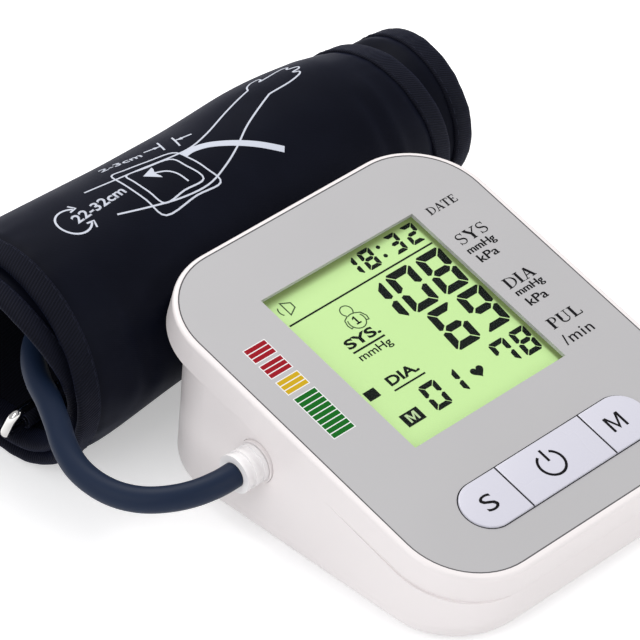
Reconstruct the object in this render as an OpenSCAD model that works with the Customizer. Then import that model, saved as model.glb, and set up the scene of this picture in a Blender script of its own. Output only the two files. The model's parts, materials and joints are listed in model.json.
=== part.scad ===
// Upper arm blood pressure monitor: a wedge-shaped desk unit, its rolled cuff and the air hose
// between them. Millimetres, +X to the reader's right, +Y to the back, +Z up, table at z = 0.
// The origin is the centre, on the table, of the footprint of the unit and the cuff.

/* [Face] */
// Tilt of the face, rising to the back, in degrees
face_tilt = 15.3; // [10:0.1:18]
// Height of the face panel's centre above the table
face_z = 38.5; // [36:0.5:44]
// Width of the silver face panel
panel_w = 100; // [96:0.5:112]
// Length of the face panel along its slope
panel_l = 119; // [116:0.5:130]
// Radius of the face panel's corners
panel_r = 20.5; // [16:0.5:24]
// Thickness of the face panel
panel_t = 1.2; // [0.8:0.1:1.6]
// Width of the flat lip of white plastic beside the panel
lip = 1; // [0.8:0.1:2]
// How much wider the lip is at the front, and how much narrower at the back
lip_shift = 0.4; // [0:0.1:0.5]
// Radius of the top case's shoulder
shoulder_r = 1; // [0.8:0.1:3]
// How far the flank spreads outward below the shoulder
flank_spread = 0.2; // [0.1:0.1:1.4]
// Depth of the top case below the face
skirt = 8.8; // [6:0.1:9]

/* [Base] */
// Width of the base at the table
base_w = 107; // [104:0.2:112]
// Length of the base at the table
base_l = 114.4; // [112:0.2:122]
// Distance of the base's centre in front of the unit's centre
base_front = 0.6; // [0:0.1:2]
// Radius of the base's corners in plan
base_r = 22; // [18:0.5:28]
// Radius of the base's bottom edge
base_fillet = 7; // [4:0.5:8]
// Inward draft of the base's walls going up, in degrees
base_draft = 4; // [1:0.1:5]
// Thickness of the moulded walls
wall = 2.2; // [1.6:0.1:2.8]
// Thickness of the plate that carries the face panel
deck_t = 1.4; // [1:0.1:2]
// Height of the lip that locates the top case on the base
joint_lip_h = 1.6; // [1:0.1:2.4]
// Thickness of that lip
joint_lip_t = 1; // [0.8:0.1:1.4]
// How far the rubber feet hold the base off the table
foot_h = 1; // [0.6:0.1:2]
// Radius of a rubber foot
foot_r = 5; // [4:0.5:6]

/* [Display] */
// Width of the display opening
lcd_w = 54.4; // [48:0.2:60]
// Height of the display opening
lcd_h = 58.4; // [52:0.2:62]
// Distance of the display's centre behind the panel's centre
lcd_y = 11.4; // [8:0.2:13]
// Thickness of the clear window
window_t = 1; // [0.8:0.1:1.2]
// Thickness of the liquid crystal glass
glass_t = 2.6; // [2:0.1:3]
// Thickness of the backlight
backlight_t = 2.8; // [2:0.1:3.4]
// Thickness of the main board
board_t = 1.6; // [1:0.1:2]

/* [Keys] */
// Overall width of the row of keys
keys_w = 64; // [58:0.5:70]
// Height of the row of keys
keys_h = 14.8; // [12:0.2:16]
// Distance of the keys' centre line in front of the panel's centre
keys_y = 41.5; // [39:0.5:43]
// Half the width of the middle key
middle_half = 14.9; // [12:0.1:18]
// Gap between the keys and round them
key_gap = 0.3; // [0.2:0.05:0.4]
// How far the keys stand above the panel
key_proud = 0.6; // [0.2:0.1:1]
// Travel of a key
key_travel = 0.5; // [0.3:0.05:0.6]

/* [Air] */
// Outer radius of the air hose
hose_r = 3.45; // [3:0.05:3.6]
// Radius of the plug's collar
plug_r = 5.4; // [5:0.1:5.6]
// Length of the plug's collar
plug_l = 7; // [4:0.1:8]
// Radius of the plug's nipple
nipple_r = 2.6; // [2:0.1:2.8]
// Length of the nipple in the socket
nipple_l = 9; // [7:0.5:10]
// Radial clearance of the nipple in the socket
plug_fit = 0.06; // [0.03:0.01:0.1]
// Height of the plug above the table
plug_z = 25.2; // [24.5:0.1:25.6]
// Distance of the plug behind the face panel's centre
plug_y = 14.3; // [13:0.1:16]

/* [Power] */
// Length of a battery
cell_l = 44.5; // [44:0.1:45]
// Radius of a battery
cell_r = 5.2; // [5:0.05:5.3]
// Number of batteries
cell_count = 4; // [4:1:4]
// Thickness of the battery door
door_t = 2; // [1.6:0.1:2.4]

/* [Cuff] */
// Left end of the outermost wrap, from the unit's centre line
cuff_left = -77; // [-82:0.5:-72]
// Right end of the outermost wrap, before its edge runs in and the next wrap's stands out
cuff_right = 73; // [68:0.5:78]
// How far the second wrap stands out past the outermost one at the left end
left_reach = 9.5; // [0:0.5:10]
// How far the second wrap stands out past the outermost one at the right end
right_reach = 17; // [8:0.5:18]
// Outer radius of the roll at its left end
roll_left_r = 33.3; // [32:0.1:34]
// Outer radius of the roll at its right end
roll_right_r = 26.9; // [26:0.1:28]
// Distance of the roll's axis behind the unit's centre, at the left end
roll_left_y = 84.6; // [84:0.1:90]
// Distance of the roll's axis behind the unit's centre, at the right end
roll_right_y = 97.6; // [97:0.1:104]
// Thickness of the padded band
band_t = 3; // [2.6:0.1:3.2]
// Free space between the wraps
wrap_gap = 0.8; // [0.7:0.05:1.2]
// Thickness of one layer of cloth
cloth_t = 0.7; // [0.4:0.05:0.8]
// Width of the binding at the band's left edge
left_binding_w = 7; // [5:0.5:10]
// Width of the binding at the band's right edge
right_binding_w = 5; // [4:0.5:8]
// Radius of the ring's wire
ring_wire_r = 1.3; // [1:0.1:1.5]

/* [Hidden] */
$fn = 48;
eps = 0.01;
seam = 0.25;
tall = 60;

// Face: depths are measured down from the face, square to it
case_r = panel_r + lip + shoulder_r + flank_spread;
case_w = panel_w + 2 * (lip + shoulder_r + flank_spread);
case_l = panel_l + 2 * (lip + shoulder_r + flank_spread);
deck_depth = panel_t + deck_t;
glass_depth = deck_depth;
board_depth = glass_depth + glass_t + backlight_t + 0.4;
floor_z = foot_h + wall;
base_back = base_l / 2 - base_front;

// Lens and frame round the display
lens_rim = 2;
lens_w = lcd_w + 2 * lens_rim;
lens_h = lcd_h + 2 * lens_rim;
frame_wall = 1.6;

// Screws through posts from below into bosses under the deck
post_x = 42;
post_y = 35;
post_r = 4;
boss_r = 3.4;
post_drop = 8;
screw_r = 1.3;
screw_head_r = 2.7;
screw_head_t = 2;
screw_l = 11;
post_cap = 3;

// Keys and the switches under them
key_centre = (keys_w / 2 + middle_half) / 2 - 1;
key_centres = [-key_centre, 0, key_centre];
key_flange = 0.8;
key_cap_depth = deck_depth + 0.1;
switch_h = 3.4;

// Battery bay, open at the underside
spring_room = 4.6;
cell_pitch = 2 * cell_r + 0.6;
bay_w = cell_l + 6;
bay_l = cell_count * cell_pitch;
bay_y = -4;
bay_top = floor_z + 2 * cell_r + 1.8;
bay_wall = 1.6;
cell_z = foot_h + door_t + 0.3 + cell_r;
door_gap = 0.3;
hinge_r = 1;
hinge_fit = 0.08;
hinge_z = foot_h + 1.6;
hinge_pin_l = 2.2;
hinge_y = bay_y - bay_l / 2 + 1.2;
door_w = bay_w - 2 * door_gap;
door_front = bay_y - bay_l / 2 + door_gap;
door_l = bay_l + 2;

// Air path
wall_x = -(base_w / 2 - (plug_z - foot_h - base_fillet) * tan(base_draft));
socket_r = 6;
socket_face = wall_x - 0.6;
socket_l = 15;
plug_gap = 0.2;
tube_r = 2;
tube_bore = 1.5;
tube_bend = 4.2;
tube_steps = 5;
tube_sides = 12;
pump_y = 33;
pump_z = floor_z + 12.4;
pump_r = 12;
pump_x = 34;
motor_l = 30;
head_l = 24;
shaft_r = 1;
shaft_fit = 0.05;
chamber_r = 9;
valve_x = -40;
valve_y = -10;
valve_r = 6;
valve_l = 22;
valve_z = floor_z + valve_r + 0.2;
plunger_r = 2;
plunger_travel = 0.6;
hub = [-29, plug_y, plug_z];

// Board and what stands on it
board_w = 90;
board_l = 98;
buzzer_r = 6;
buzzer_h = 5.5;
buzzer_x = board_w / 2 - buzzer_r - 5;
buzzer_y = -22;
// Each chip's place on the board, then its width, length and thickness
chips = [
  [-22, 16, 12, 12, 1.6], [10, 6, 8, 6, 1.5], [26, 26, 10, 5, 3], [-10, -30, 6, 6, 1.4],
  [20, -14, 5, 9, 2.4]
];
sensor_x = -20;
sensor_y = 34;
usb_x = -24;
usb_z = 12;

// Cuff: the band is rolled inward from its tail, clockwise as seen from the left end
pitch = band_t + wrap_gap;
tail_angle = -60;
band_turn = 750;
turn_step = 10;
binding_step = 0.2;
binding_gap = 0.2;
// The band's edges at each turn, as shares of left_reach and right_reach
left_edges = [[0, 0], [488, 0], [500, 0.3], [520, 0.67], [550, 0.92], [600, 1], [680, 0.74], [745, 0]];
right_edges = [
  [0, 0.18], [140, 0.18], [255, -0.26], [300, -0.2], [450, 0.88], [520, 0.92], [600, 1],
  [680, 0.76], [750, 0.24]
];
bladder_from = 390;
bladder_to = 740;
bladder_edge = 8;
bladder_gap = 0.2;
nipple_turn = 535;
elbow_r = 2.4;
hook_from = 10;
hook_to = 100;
hook_edge = 6;
hook_t = 0.28;
ring_out = 5;
ring_w = 10;
ring_bend = 2.6;
ring_lean = 116;
ring_step = 10;
ring_fit = 0.3;
sleeve_r = ring_wire_r + 1.2;
sleeve_short = 4;

// Hose route from the plug's end to the nipple inside the roll, chosen by hand
hose_route = [
  [socket_face - plug_gap - plug_l, plug_y, plug_z], [-65.7, 14.4, 25.2], [-72.1, 16, 24.9],
  [-78, 19.2, 24.6], [-82.8, 23.9, 24.3], [-86.2, 29.6, 24.6], [-88, 35.9, 25.6],
  [-88.2, 42.4, 27.2], [-86.7, 48.4, 29.5], [-84.3, 53.9, 32.6], [-82.1, 59.6, 35.4],
  [-80.1, 65.6, 37.2], [-76.7, 71.2, 38.5], [-71.9, 75.7, 39.5], [-66, 78.8, 40.2],
  [-59.5, 80.3, 40.4]
];
hose_sides = 10;
hose_steps = 1;

// The whole part is moved so that the origin is the centre of its footprint
plan_left = cuff_left - max(ring_out, left_reach);
plan_right = cuff_right + right_reach;
plan_front = shoulder_r * sin(face_tilt)
  - (panel_l / 2 + lip + lip_shift + shoulder_r) * cos(face_tilt);
back_turn = 360 + tail_angle;
plan_back = roll_y(right_edge(back_turn)) + roll_r(right_edge(back_turn))
  - pitch * back_turn / 360 + binding_step;
plan_x = (plan_left + plan_right) / 2;
plan_y = (plan_front + plan_back) / 2;

module placed() {
  translate([-plan_x, -plan_y, 0]) children();
}

// Puts children on the face: x to the right, y up the slope, z out of the face
module on_face() {
  translate([0, 0, face_z]) rotate([face_tilt, 0, 0]) children();
}

// Everything deeper than a given depth below the face
module below_face(depth) {
  on_face() translate([-100, -100, -depth - 100]) cube([200, 200, 100]);
}

// Height above the table of a plane below the face, at distance y from the face's centre
function face_height(y, depth) = face_z + y * tan(face_tilt) - depth / cos(face_tilt);

// Sweeps a half profile round a rounded rectangle. The profile's x runs outward from the
// centre of the corner's curve, and its y is the height, from low to high.
module swept_block(w, l, r, low, high) {
  cx = w / 2 - r;
  cy = l / 2 - r;
  for (corner = [0:3])
    translate([corner == 0 || corner == 3 ? cx : -cx, corner < 2 ? cy : -cy, 0])
      rotate([0, 0, 90 * corner]) rotate_extrude(angle = 90) children();
  for (side = [0, 1])
    mirror([0, side, 0]) translate([-cx, cy, 0])
      rotate([90, 0, 90]) linear_extrude(2 * cx) children();
  for (side = [0, 1])
    mirror([side, 0, 0]) translate([cx, cy, 0])
      rotate([90, 0, 0]) linear_extrude(2 * cy) children();
  translate([-cx, -cy, low]) cube([2 * cx, 2 * cy, high - low]);
}

// Rounded rectangle in the plane
module rounded_plate(w, l, r) {
  square([w - 2 * r, l], center = true);
  square([w, l - 2 * r], center = true);
  for (x = [-1, 1], y = [-1, 1])
    translate([x * (w / 2 - r), y * (l / 2 - r)]) circle(r);
}

// Solid base with its walls moved inward by inset
module base_block(inset, low) {
  r = base_r - inset;
  fillet = max(base_fillet - inset, 1);
  lean = (tall - low - fillet) * tan(base_draft);
  translate([0, -base_front, 0]) swept_block(base_w - 2 * inset, base_l - 2 * inset, r, low, tall) {
    union() {
      translate([0, low]) square([r - fillet, tall - low]);
      translate([r - fillet, low + fillet]) circle(fillet);
      polygon([[0, low + fillet], [r, low + fillet], [r - lean, tall], [0, tall]]);
    }
  }
}

// Solid top case, face down to its parting plane, with its walls moved inward by inset
module case_block(inset, top) {
  r = case_r - inset;
  shoulder = max(shoulder_r - inset, 0.5);
  flat = r - flank_spread - shoulder;
  translate([0, -lip_shift, 0]) swept_block(case_w - 2 * inset, case_l - 2 * inset, r, -skirt, -top) {
    union() {
      translate([0, -skirt]) square([flat, skirt - top]);
      translate([flat, -top - shoulder]) circle(shoulder);
      polygon([[0, -skirt], [r, -skirt], [flat + shoulder, -top - shoulder], [0, -top - shoulder]]);
    }
  }
}

// Outline of the row of keys, grown by a gap
module keys_outline(gap) {
  translate([0, -keys_y]) rounded_plate(keys_w + 2 * gap, keys_h + 2 * gap, keys_h / 2 + gap - eps);
}

// The part of the row of keys between two places along it
module key_outline(from, to, gap) {
  intersection() {
    keys_outline(gap);
    translate([from, -keys_y - keys_h]) square([to - from, 2 * keys_h]);
  }
}

// Skins a row of rings of points, all of the same length, and closes both ends
module skin(rings) {
  m = len(rings[0]);
  n = len(rings);
  points = [for (ring = rings, p = ring) p];
  sides = [
    for (i = [0:n - 2], j = [0:m - 1])
      each [
        [i * m + j, i * m + (j + 1) % m, (i + 1) * m + (j + 1) % m],
        [i * m + j, (i + 1) * m + (j + 1) % m, (i + 1) * m + j]
      ]
  ];
  caps = [[for (j = [m - 1:-1:0]) j], [for (j = [0:m - 1]) (n - 1) * m + j]];
  polyhedron(points, concat(sides, caps));
}

// Round ring of points about p, square to direction, which must not run along reference
function round_ring(p, direction, r, sides, reference = [0, 0, 1]) =
  let (
    t = direction / norm(direction),
    u = cross(t, reference) / norm(cross(t, reference)),
    v = cross(u, t)
  )
  [for (i = [0:sides - 1]) p + r * (cos(360 * i / sides) * u + sin(360 * i / sides) * v)];

// Smooth curve through the points of a route
function curve_point(a, b, c, d, t) =
  0.5 * (2 * b + (c - a) * t + (2 * a - 5 * b + 4 * c - d) * t * t
    + (3 * b - a - 3 * c + d) * t * t * t);
function smooth_route(route, steps) =
  let (n = len(route) - 1)
  [
    for (i = [0:n - 1], k = [0:steps - 1])
      curve_point(
        route[max(i - 1, 0)], route[i], route[i + 1], route[min(i + 2, n)], k / steps
      ),
    route[n]
  ];
function route_direction(points, i, first) =
  i == 0 ? first : points[min(i + 1, len(points) - 1)] - points[i - 1];

module round_rod(from, to, r) {
  along = to - from;
  translate(from)
    rotate([0, acos(along[2] / norm(along)), atan2(along[1], along[0])])
      cylinder(h = norm(along), r = r);
}

// Route with each corner rounded off over the given length of both its legs
function rounded_route(route, leg, steps) =
  let (n = len(route) - 1)
  [
    route[0],
    if (n > 1)
      for (i = [1:n - 1])
        let (
          from = route[i] + leg * (route[i - 1] - route[i]) / norm(route[i - 1] - route[i]),
          to = route[i] + leg * (route[i + 1] - route[i]) / norm(route[i + 1] - route[i])
        )
        for (k = [0:steps])
          let (t = k / steps)
            (1 - t) * (1 - t) * from + 2 * t * (1 - t) * route[i] + t * t * to,
    route[n]
  ];

// Tube of outer radius r through the points: rings go out along its outside and back along
// its bore
module hollow_tube(points, r, bore, sides) {
  n = len(points);
  m = 2 * n;
  function ring(i, size) =
    round_ring(points[i], route_direction(points, i, points[1] - points[0]), size, sides, [1, -1, 1]);
  rings = [for (i = [0:n - 1]) ring(i, r), for (i = [n - 1:-1:0]) ring(i, bore)];
  polyhedron(
    [for (one = rings, p = one) p],
    [
      for (i = [0:m - 1], j = [0:sides - 1])
        let (a = i * sides, b = (i + 1) % m * sides, k = (j + 1) % sides)
          each [[a + j, a + k, b + k], [a + j, b + k, b + j]]
    ]
  );
}

// ---- Case ----

// Where the base's post meets the boss, in the front row (-1) or the back row (1)
function post_join(row) = face_height(row * post_y, skirt) - post_drop;

module top_case() color("whitesmoke") placed() difference() {
  union() {
    difference() {
      on_face() case_block(0, 0);
      // Hollow under the deck, above the ledge that meets the base
      on_face() intersection() {
        case_block(wall, deck_depth);
        translate([-100, -100, wall - skirt]) cube([200, 200, skirt]);
      }
      // Opening in the ledge for the base's locating lip
      intersection() {
        base_block(wall - joint_lip_t - seam, floor_z);
        below_face(deck_depth);
      }
    }
    // Screw bosses under the deck
    intersection() {
      for (x = [-1, 1], y = [-1, 1])
        translate([x * post_x, y * post_y, post_join(y)]) cylinder(h = tall, r = boss_r);
      below_face(deck_depth - eps);
    }
  }
  on_face() translate([0, 0, -panel_t]) linear_extrude(panel_t + 1)
    rounded_plate(panel_w + 2 * seam, panel_l + 2 * seam, panel_r + seam);
  on_face() translate([-lens_w / 2 - seam, lcd_y - lens_h / 2 - seam, -skirt])
    cube([lens_w + 2 * seam, lens_h + 2 * seam, skirt]);
  on_face() translate([0, 0, -skirt]) linear_extrude(skirt) keys_outline(key_gap);
  // Pilot holes for the screws
  for (x = [-1, 1], y = [-1, 1])
    translate([x * post_x, y * post_y, post_join(y) - 1])
      cylinder(h = screw_l - post_cap + 1.4, r = screw_r + 0.05);
}

module base_case() color("whitesmoke") placed() difference() {
  union() {
    difference() {
      union() {
        intersection() {
          base_block(0, foot_h);
          below_face(skirt);
        }
        intersection() {
          base_block(wall - joint_lip_t, foot_h);
          below_face(skirt - joint_lip_h);
        }
      }
      base_block(wall, floor_z);
    }
    // Posts for the screws
    for (x = [-1, 1], y = [-1, 1])
      translate([x * post_x, y * post_y, foot_h]) cylinder(h = post_join(y) - foot_h, r = post_r);
    // Walls of the battery bay
    translate([-bay_w / 2 - bay_wall, bay_y - bay_l / 2 - bay_wall, foot_h])
      cube([bay_w + 2 * bay_wall, bay_l + 2 * bay_wall, bay_top + bay_wall - foot_h]);
    // Ears for the battery door's hinge pins
    for (x = [-1, 1])
      translate([x * (bay_w / 2 + 2) - 2.5, hinge_y - 3, foot_h]) cube([5, 6, 5]);
    // Cradle under the pump
    for (x = [pump_x - motor_l + 4, pump_x - 8])
      translate([x, pump_y - pump_r, floor_z - eps]) cube([3, 2 * pump_r, pump_z - floor_z - 4]);
  }
  // Inside of the battery bay
  translate([-bay_w / 2, bay_y - bay_l / 2, foot_h - 1]) cube([bay_w, bay_l, bay_top - foot_h + 1]);
  // Step for the battery door
  translate([-door_w / 2 - door_gap, door_front - door_gap, foot_h - 1])
    cube([door_w + 2 * door_gap, door_l + 2 * door_gap, door_t + 1]);
  translate([-door_w / 2 - door_gap, hinge_y - 1.6 - door_gap, foot_h - 1])
    cube([door_w + 2 * door_gap, 3.2 + 2 * door_gap, 5]);
  translate([-bay_w / 2 - 4.2, hinge_y, hinge_z]) rotate([0, 90, 0])
    cylinder(h = bay_w + 8.4, r = hinge_r + hinge_fit);
  // Screw holes and their counterbores
  for (x = [-1, 1], y = [-1, 1]) translate([x * post_x, y * post_y, 0]) {
    cylinder(h = tall, r = screw_r + 0.2);
    cylinder(h = post_join(y) - post_cap, r = screw_head_r + 0.3);
  }
  // Shallow seats for the rubber feet
  at_feet() cylinder(h = foot_h + 0.6, r = foot_r + 0.1);
  // Saddle for the pump in its cradle
  translate([0, pump_y, pump_z]) rotate([0, 90, 0])
    cylinder(h = 80, r = pump_r + 0.1, center = true);
  // Hole for the air socket
  translate([wall_x, plug_y, plug_z]) rotate([0, 90, 0])
    cylinder(h = 12, r = socket_r + 0.1, center = true);
  // Hole for the power socket
  translate([usb_x - 4.6, base_back - 8, usb_z - 1.9]) cube([9.2, 10, 3.8]);
}

module at_feet() {
  for (x = [-1, 1], y = [-1, 1]) translate([x * 34, y * 45, 0]) children();
}

module rubber_feet() color("dimgray") placed()
  at_feet() {
    cylinder(h = foot_h + 0.6 - eps, r = foot_r - 0.4);
    translate([0, 0, 0.5]) cylinder(h = foot_h + 0.1 - eps, r = foot_r);
  }

module case_screws() color("silver") placed()
  for (x = [-1, 1], y = [-1, 1])
    translate([x * post_x, y * post_y, post_join(y) - post_cap - screw_head_t]) {
      difference() {
        cylinder(h = screw_head_t - eps, r = screw_head_r);
        for (turn = [0, 90]) rotate([0, 0, turn]) translate([-1.6, -0.4, -1]) cube([3.2, 0.8, 2]);
      }
      cylinder(h = screw_head_t + screw_l - 0.6, r = screw_r);
    }

// ---- Face and display ----

module face_panel() color([0.72, 0.72, 0.74]) placed() on_face()
  translate([0, 0, -panel_t]) linear_extrude(panel_t) difference() {
    rounded_plate(panel_w, panel_l, panel_r);
    translate([-lcd_w / 2, lcd_y - lcd_h / 2]) square([lcd_w, lcd_h]);
    keys_outline(key_gap);
  }

module display_slab(w, h, depth, thickness) {
  translate([-w / 2, lcd_y - h / 2, -depth - thickness]) cube([w, h, thickness]);
}

module lcd_window() color([0.85, 0.95, 0.9, 0.3]) placed() on_face()
  display_slab(lens_w, lens_h, panel_t, window_t);

module lcd_glass() color([0.72, 0.88, 0.55]) placed() on_face()
  display_slab(lcd_w + 3, lcd_h + 3, glass_depth, glass_t);

module backlight() color("white") placed() on_face()
  display_slab(lcd_w + 3, lcd_h + 3, glass_depth + glass_t, backlight_t);

module lcd_frame() color("black") placed() on_face() difference() {
  display_slab(lcd_w + 3.4 + 2 * frame_wall, lcd_h + 3.4 + 2 * frame_wall, glass_depth,
    board_depth - glass_depth);
  display_slab(lcd_w + 3.4, lcd_h + 3.4, glass_depth - 1, board_depth - glass_depth + 0.6);
  display_slab(lcd_w - 4, lcd_h - 4, glass_depth, board_depth);
}

// ---- Electronics ----

module main_board() color("darkgreen") placed() difference() {
  on_face() translate([0, -3, -board_depth - board_t]) linear_extrude(board_t)
    rounded_plate(board_w, board_l, 12);
  for (x = [-1, 1], y = [-1, 1]) translate([x * post_x, y * post_y, 0])
    cylinder(h = tall + 10, r = boss_r + 0.5);
}

module board_chips() color([0.15, 0.15, 0.17]) placed() on_face()
  for (chip = chips)
    translate([chip[0] - chip[2] / 2, chip[1] - chip[3] / 2, -board_depth - board_t - chip[4]])
      cube([chip[2], chip[3], chip[4]]);

module key_switches() color("dimgray") placed() on_face()
  for (x = key_centres) translate([x, -keys_y, -board_depth]) {
    translate([-3, -3, 0]) cube([6, 6, 2.6]);
    cylinder(h = switch_h, r = 1.7);
  }

module buzzer() color([0.1, 0.1, 0.1]) placed() on_face()
  translate([buzzer_x, buzzer_y, -board_depth - board_t - buzzer_h]) difference() {
    cylinder(h = buzzer_h, r = buzzer_r);
    translate([0, 0, -1]) cylinder(h = 2, r = buzzer_r / 5);
  }

module pressure_sensor() color("gainsboro") placed() on_face()
  translate([sensor_x, sensor_y, -board_depth - board_t]) {
    translate([-4, -4, -4]) cube([8, 8, 4]);
    translate([0, 0, -8]) cylinder(h = 4.5, r = 1.5);
  }

// ---- Keys ----

module key(from, to, centre) placed() on_face() {
  translate([0, 0, -key_cap_depth]) linear_extrude(key_cap_depth + key_proud)
    key_outline(from, to, 0);
  // Flange that keeps the key behind the deck
  translate([0, 0, -key_cap_depth - 1]) linear_extrude(1)
    key_outline(from, to, key_gap + key_flange);
  translate([centre, -keys_y, -board_depth + switch_h + key_travel + 0.1])
    cylinder(h = board_depth - switch_h - key_travel - key_cap_depth - 0.2, r = 2);
}

module set_key() color([0.86, 0.86, 0.92])
  key(-keys_w, -middle_half - key_gap, key_centres[0]);
module power_key() color([0.86, 0.86, 0.92])
  key(-middle_half, middle_half, key_centres[1]);
module memory_key() color([0.86, 0.86, 0.92])
  key(middle_half + key_gap, keys_w, key_centres[2]);

// ---- Air path ----

// Cylinder along x, starting at the given point
module bar_x(p, h, r) {
  translate(p) rotate([0, 90, 0]) cylinder(h = h, r = r);
}

module air_socket() color("white") placed() difference() {
  union() {
    bar_x([socket_face, plug_y, plug_z], 4 + 0.6 + wall, socket_r);
    bar_x([socket_face, plug_y, plug_z], socket_l, 4.2);
    bar_x([socket_face + socket_l - 1, plug_y, plug_z], 3.6, tube_r - 0.6);
    // Flange behind the wall
    bar_x([wall_x + wall + 0.6, plug_y, plug_z], 1.6, socket_r + 1.2);
  }
  bar_x([socket_face - 1, plug_y, plug_z], nipple_l + 2, nipple_r + plug_fit);
  bar_x([socket_face, plug_y, plug_z], 30, 0.8);
}

module hose_plug() color("white") placed() difference() {
  union() {
    bar_x([socket_face - plug_gap - plug_l, plug_y, plug_z], plug_l, plug_r - 0.5);
    for (rib = [0:2])
      bar_x([socket_face - plug_gap - plug_l + rib * (plug_l - 1.1) / 2, plug_y, plug_z], 1.1, plug_r);
    bar_x([socket_face - plug_gap - eps, plug_y, plug_z], nipple_l, nipple_r);
  }
  bar_x([-100, plug_y, plug_z], 100, 1);
}

module pump_motor() color("silver") placed() difference() {
  union() {
    bar_x([pump_x - motor_l, pump_y, pump_z], motor_l, pump_r);
    bar_x([pump_x, pump_y, pump_z], 2, 3);
  }
  bar_x([pump_x - motor_l - 1, pump_y, pump_z], 9, shaft_r + shaft_fit);
}

module pump_head() color([0.2, 0.2, 0.22]) placed() {
  difference() {
    bar_x([pump_x - motor_l - head_l, pump_y, pump_z], head_l - eps, pump_r - 0.5);
    bar_x([pump_x - motor_l - 12, pump_y, pump_z], 13, chamber_r);
  }
  bar_x([pump_x - motor_l - head_l - 5, pump_y, pump_z], 5.5, tube_r - 0.6);
}

// Motor shaft with the eccentric that works the pump's diaphragms
module pump_shaft() color("gold") placed() {
  bar_x([pump_x - motor_l - 10, pump_y, pump_z], 17, shaft_r);
  bar_x([pump_x - motor_l - 9, pump_y + 1.6, pump_z], 6, 5);
}

module release_valve() color("silver") placed()
  translate([valve_x, valve_y - valve_l / 2, valve_z]) rotate([-90, 0, 0]) {
    difference() {
      cylinder(h = valve_l, r = valve_r);
      translate([0, 0, -1]) cylinder(h = valve_l - 4, r = plunger_r + shaft_fit);
    }
    translate([0, 0, valve_l - eps]) cylinder(h = 5, r = tube_r - 0.6);
  }

module valve_plunger() color("dimgray") placed()
  translate([valve_x, valve_y - valve_l / 2 - 1.5, valve_z]) rotate([-90, 0, 0]) {
    cylinder(h = valve_l - 5, r = plunger_r);
    cylinder(h = 0.8, r = 3.5);
  }

// Hub where the tubes from pump, valve, sensor and socket meet
module tube_junction() color("white") placed() {
  translate(hub) cube([6, 6, 6], center = true);
  round_rod(hub, hub + [0, 0, -7], tube_r - 0.6);
  round_rod(hub, hub + [0, 7, 0], tube_r - 0.6);
  round_rod(hub, hub + [-6, 0, 0], tube_r - 0.6);
}

// Soft tubes pushed over the nipples
module air_tube(route)
  hollow_tube(rounded_route(route, tube_bend, tube_steps), tube_r, tube_bore, tube_sides);

module air_tubes() color([0.85, 0.85, 0.82]) placed() {
  air_tube([[socket_face + socket_l + 0.3, plug_y, plug_z], hub + [-3.2, 0, 0]]);
  air_tube([hub + [0, 0, -3.2], [hub[0], hub[1], valve_z], [valve_x, hub[1] - 4, valve_z],
      [valve_x, valve_y + valve_l / 2 + 0.2, valve_z]]);
  air_tube([hub + [0, 3.2, 0], [hub[0], pump_y, plug_z], [hub[0], pump_y, pump_z],
      [pump_x - motor_l - head_l - 0.2, pump_y, pump_z]]);
}

// ---- Power ----

module battery_cells() color([0.2, 0.35, 0.6]) placed()
  for (i = [0:cell_count - 1])
    translate([0, bay_y - bay_l / 2 + (i + 0.5) * cell_pitch, cell_z])
      rotate([0, i % 2 == 0 ? 90 : -90, 0]) {
        translate([0, 0, -cell_l / 2 + spring_room / 2]) {
          cylinder(h = cell_l - 1, r = cell_r);
          cylinder(h = cell_l, r = 1.9);
        }
      }

module battery_contacts() color("silver") placed()
  for (side = [-1, 1], i = [0:cell_count - 1])
    translate([side * (bay_w / 2 - 0.3), bay_y - bay_l / 2 + (i + 0.5) * cell_pitch, cell_z])
      cube([0.5, 2 * cell_r - 1.4, 2 * cell_r - 2], center = true);

module battery_springs() color("silver") placed()
  for (i = [0:cell_count - 1])
    translate([0, bay_y - bay_l / 2 + (i + 0.5) * cell_pitch, cell_z])
      rotate([0, i % 2 == 0 ? 90 : -90, 0]) translate([0, 0, 0.6 - bay_w / 2]) coil_spring();

// Conical spring that stands on z = 0
module coil_spring() {
  turns = 3;
  steps = 36;
  height = spring_room;
  centres = [
    for (i = [0:steps])
      let (a = 360 * turns * i / steps, r = 3.4 - 1.6 * i / steps)
        [r * cos(a), r * sin(a), 0.35 + (height - 0.7) * i / steps]
  ];
  skin([
    for (i = [0:steps])
      let (next = centres[min(i + 1, steps)], last = centres[max(i - 1, 0)])
        round_ring(centres[i], next - last, 0.3, 6)
  ]);
}

module battery_door() color("whitesmoke") placed() {
  translate([-door_w / 2, hinge_y, foot_h]) cube([door_w, door_front + door_l - hinge_y, door_t]);
  bar_x([-door_w / 2, hinge_y, hinge_z], door_w, hinge_z - foot_h);
  bar_x([-door_w / 2 - hinge_pin_l, hinge_y, hinge_z], door_w + 2 * hinge_pin_l, hinge_r);
  // Latch tongue at the back edge
  translate([-6, bay_y + bay_l / 2 - door_gap - 0.7, foot_h + door_t - eps])
    cube([12, 0.7, 1.6]);
  // Foam ribs that press on the cells
  for (x = [-15, 15]) translate([x - 1, bay_y - bay_l / 2 + 6, foot_h + door_t - eps])
    cube([2, bay_l - 12, 0.2]);
}

module usb_socket() color("silver") placed()
  translate([usb_x, base_back - wall - 5.5, usb_z]) difference() {
    translate([-4, 0, -1.5]) cube([8, 5.6, 3]);
    translate([-3.5, 1, -1]) cube([7, 6, 2]);
  }

// ---- Cuff ----

function roll_share(x) = (x - cuff_left) / (cuff_right - cuff_left);
function roll_y(x) = roll_left_y + (roll_right_y - roll_left_y) * roll_share(x);
function roll_r(x) = roll_left_r + (roll_right_r - roll_left_r) * roll_share(x);

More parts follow.
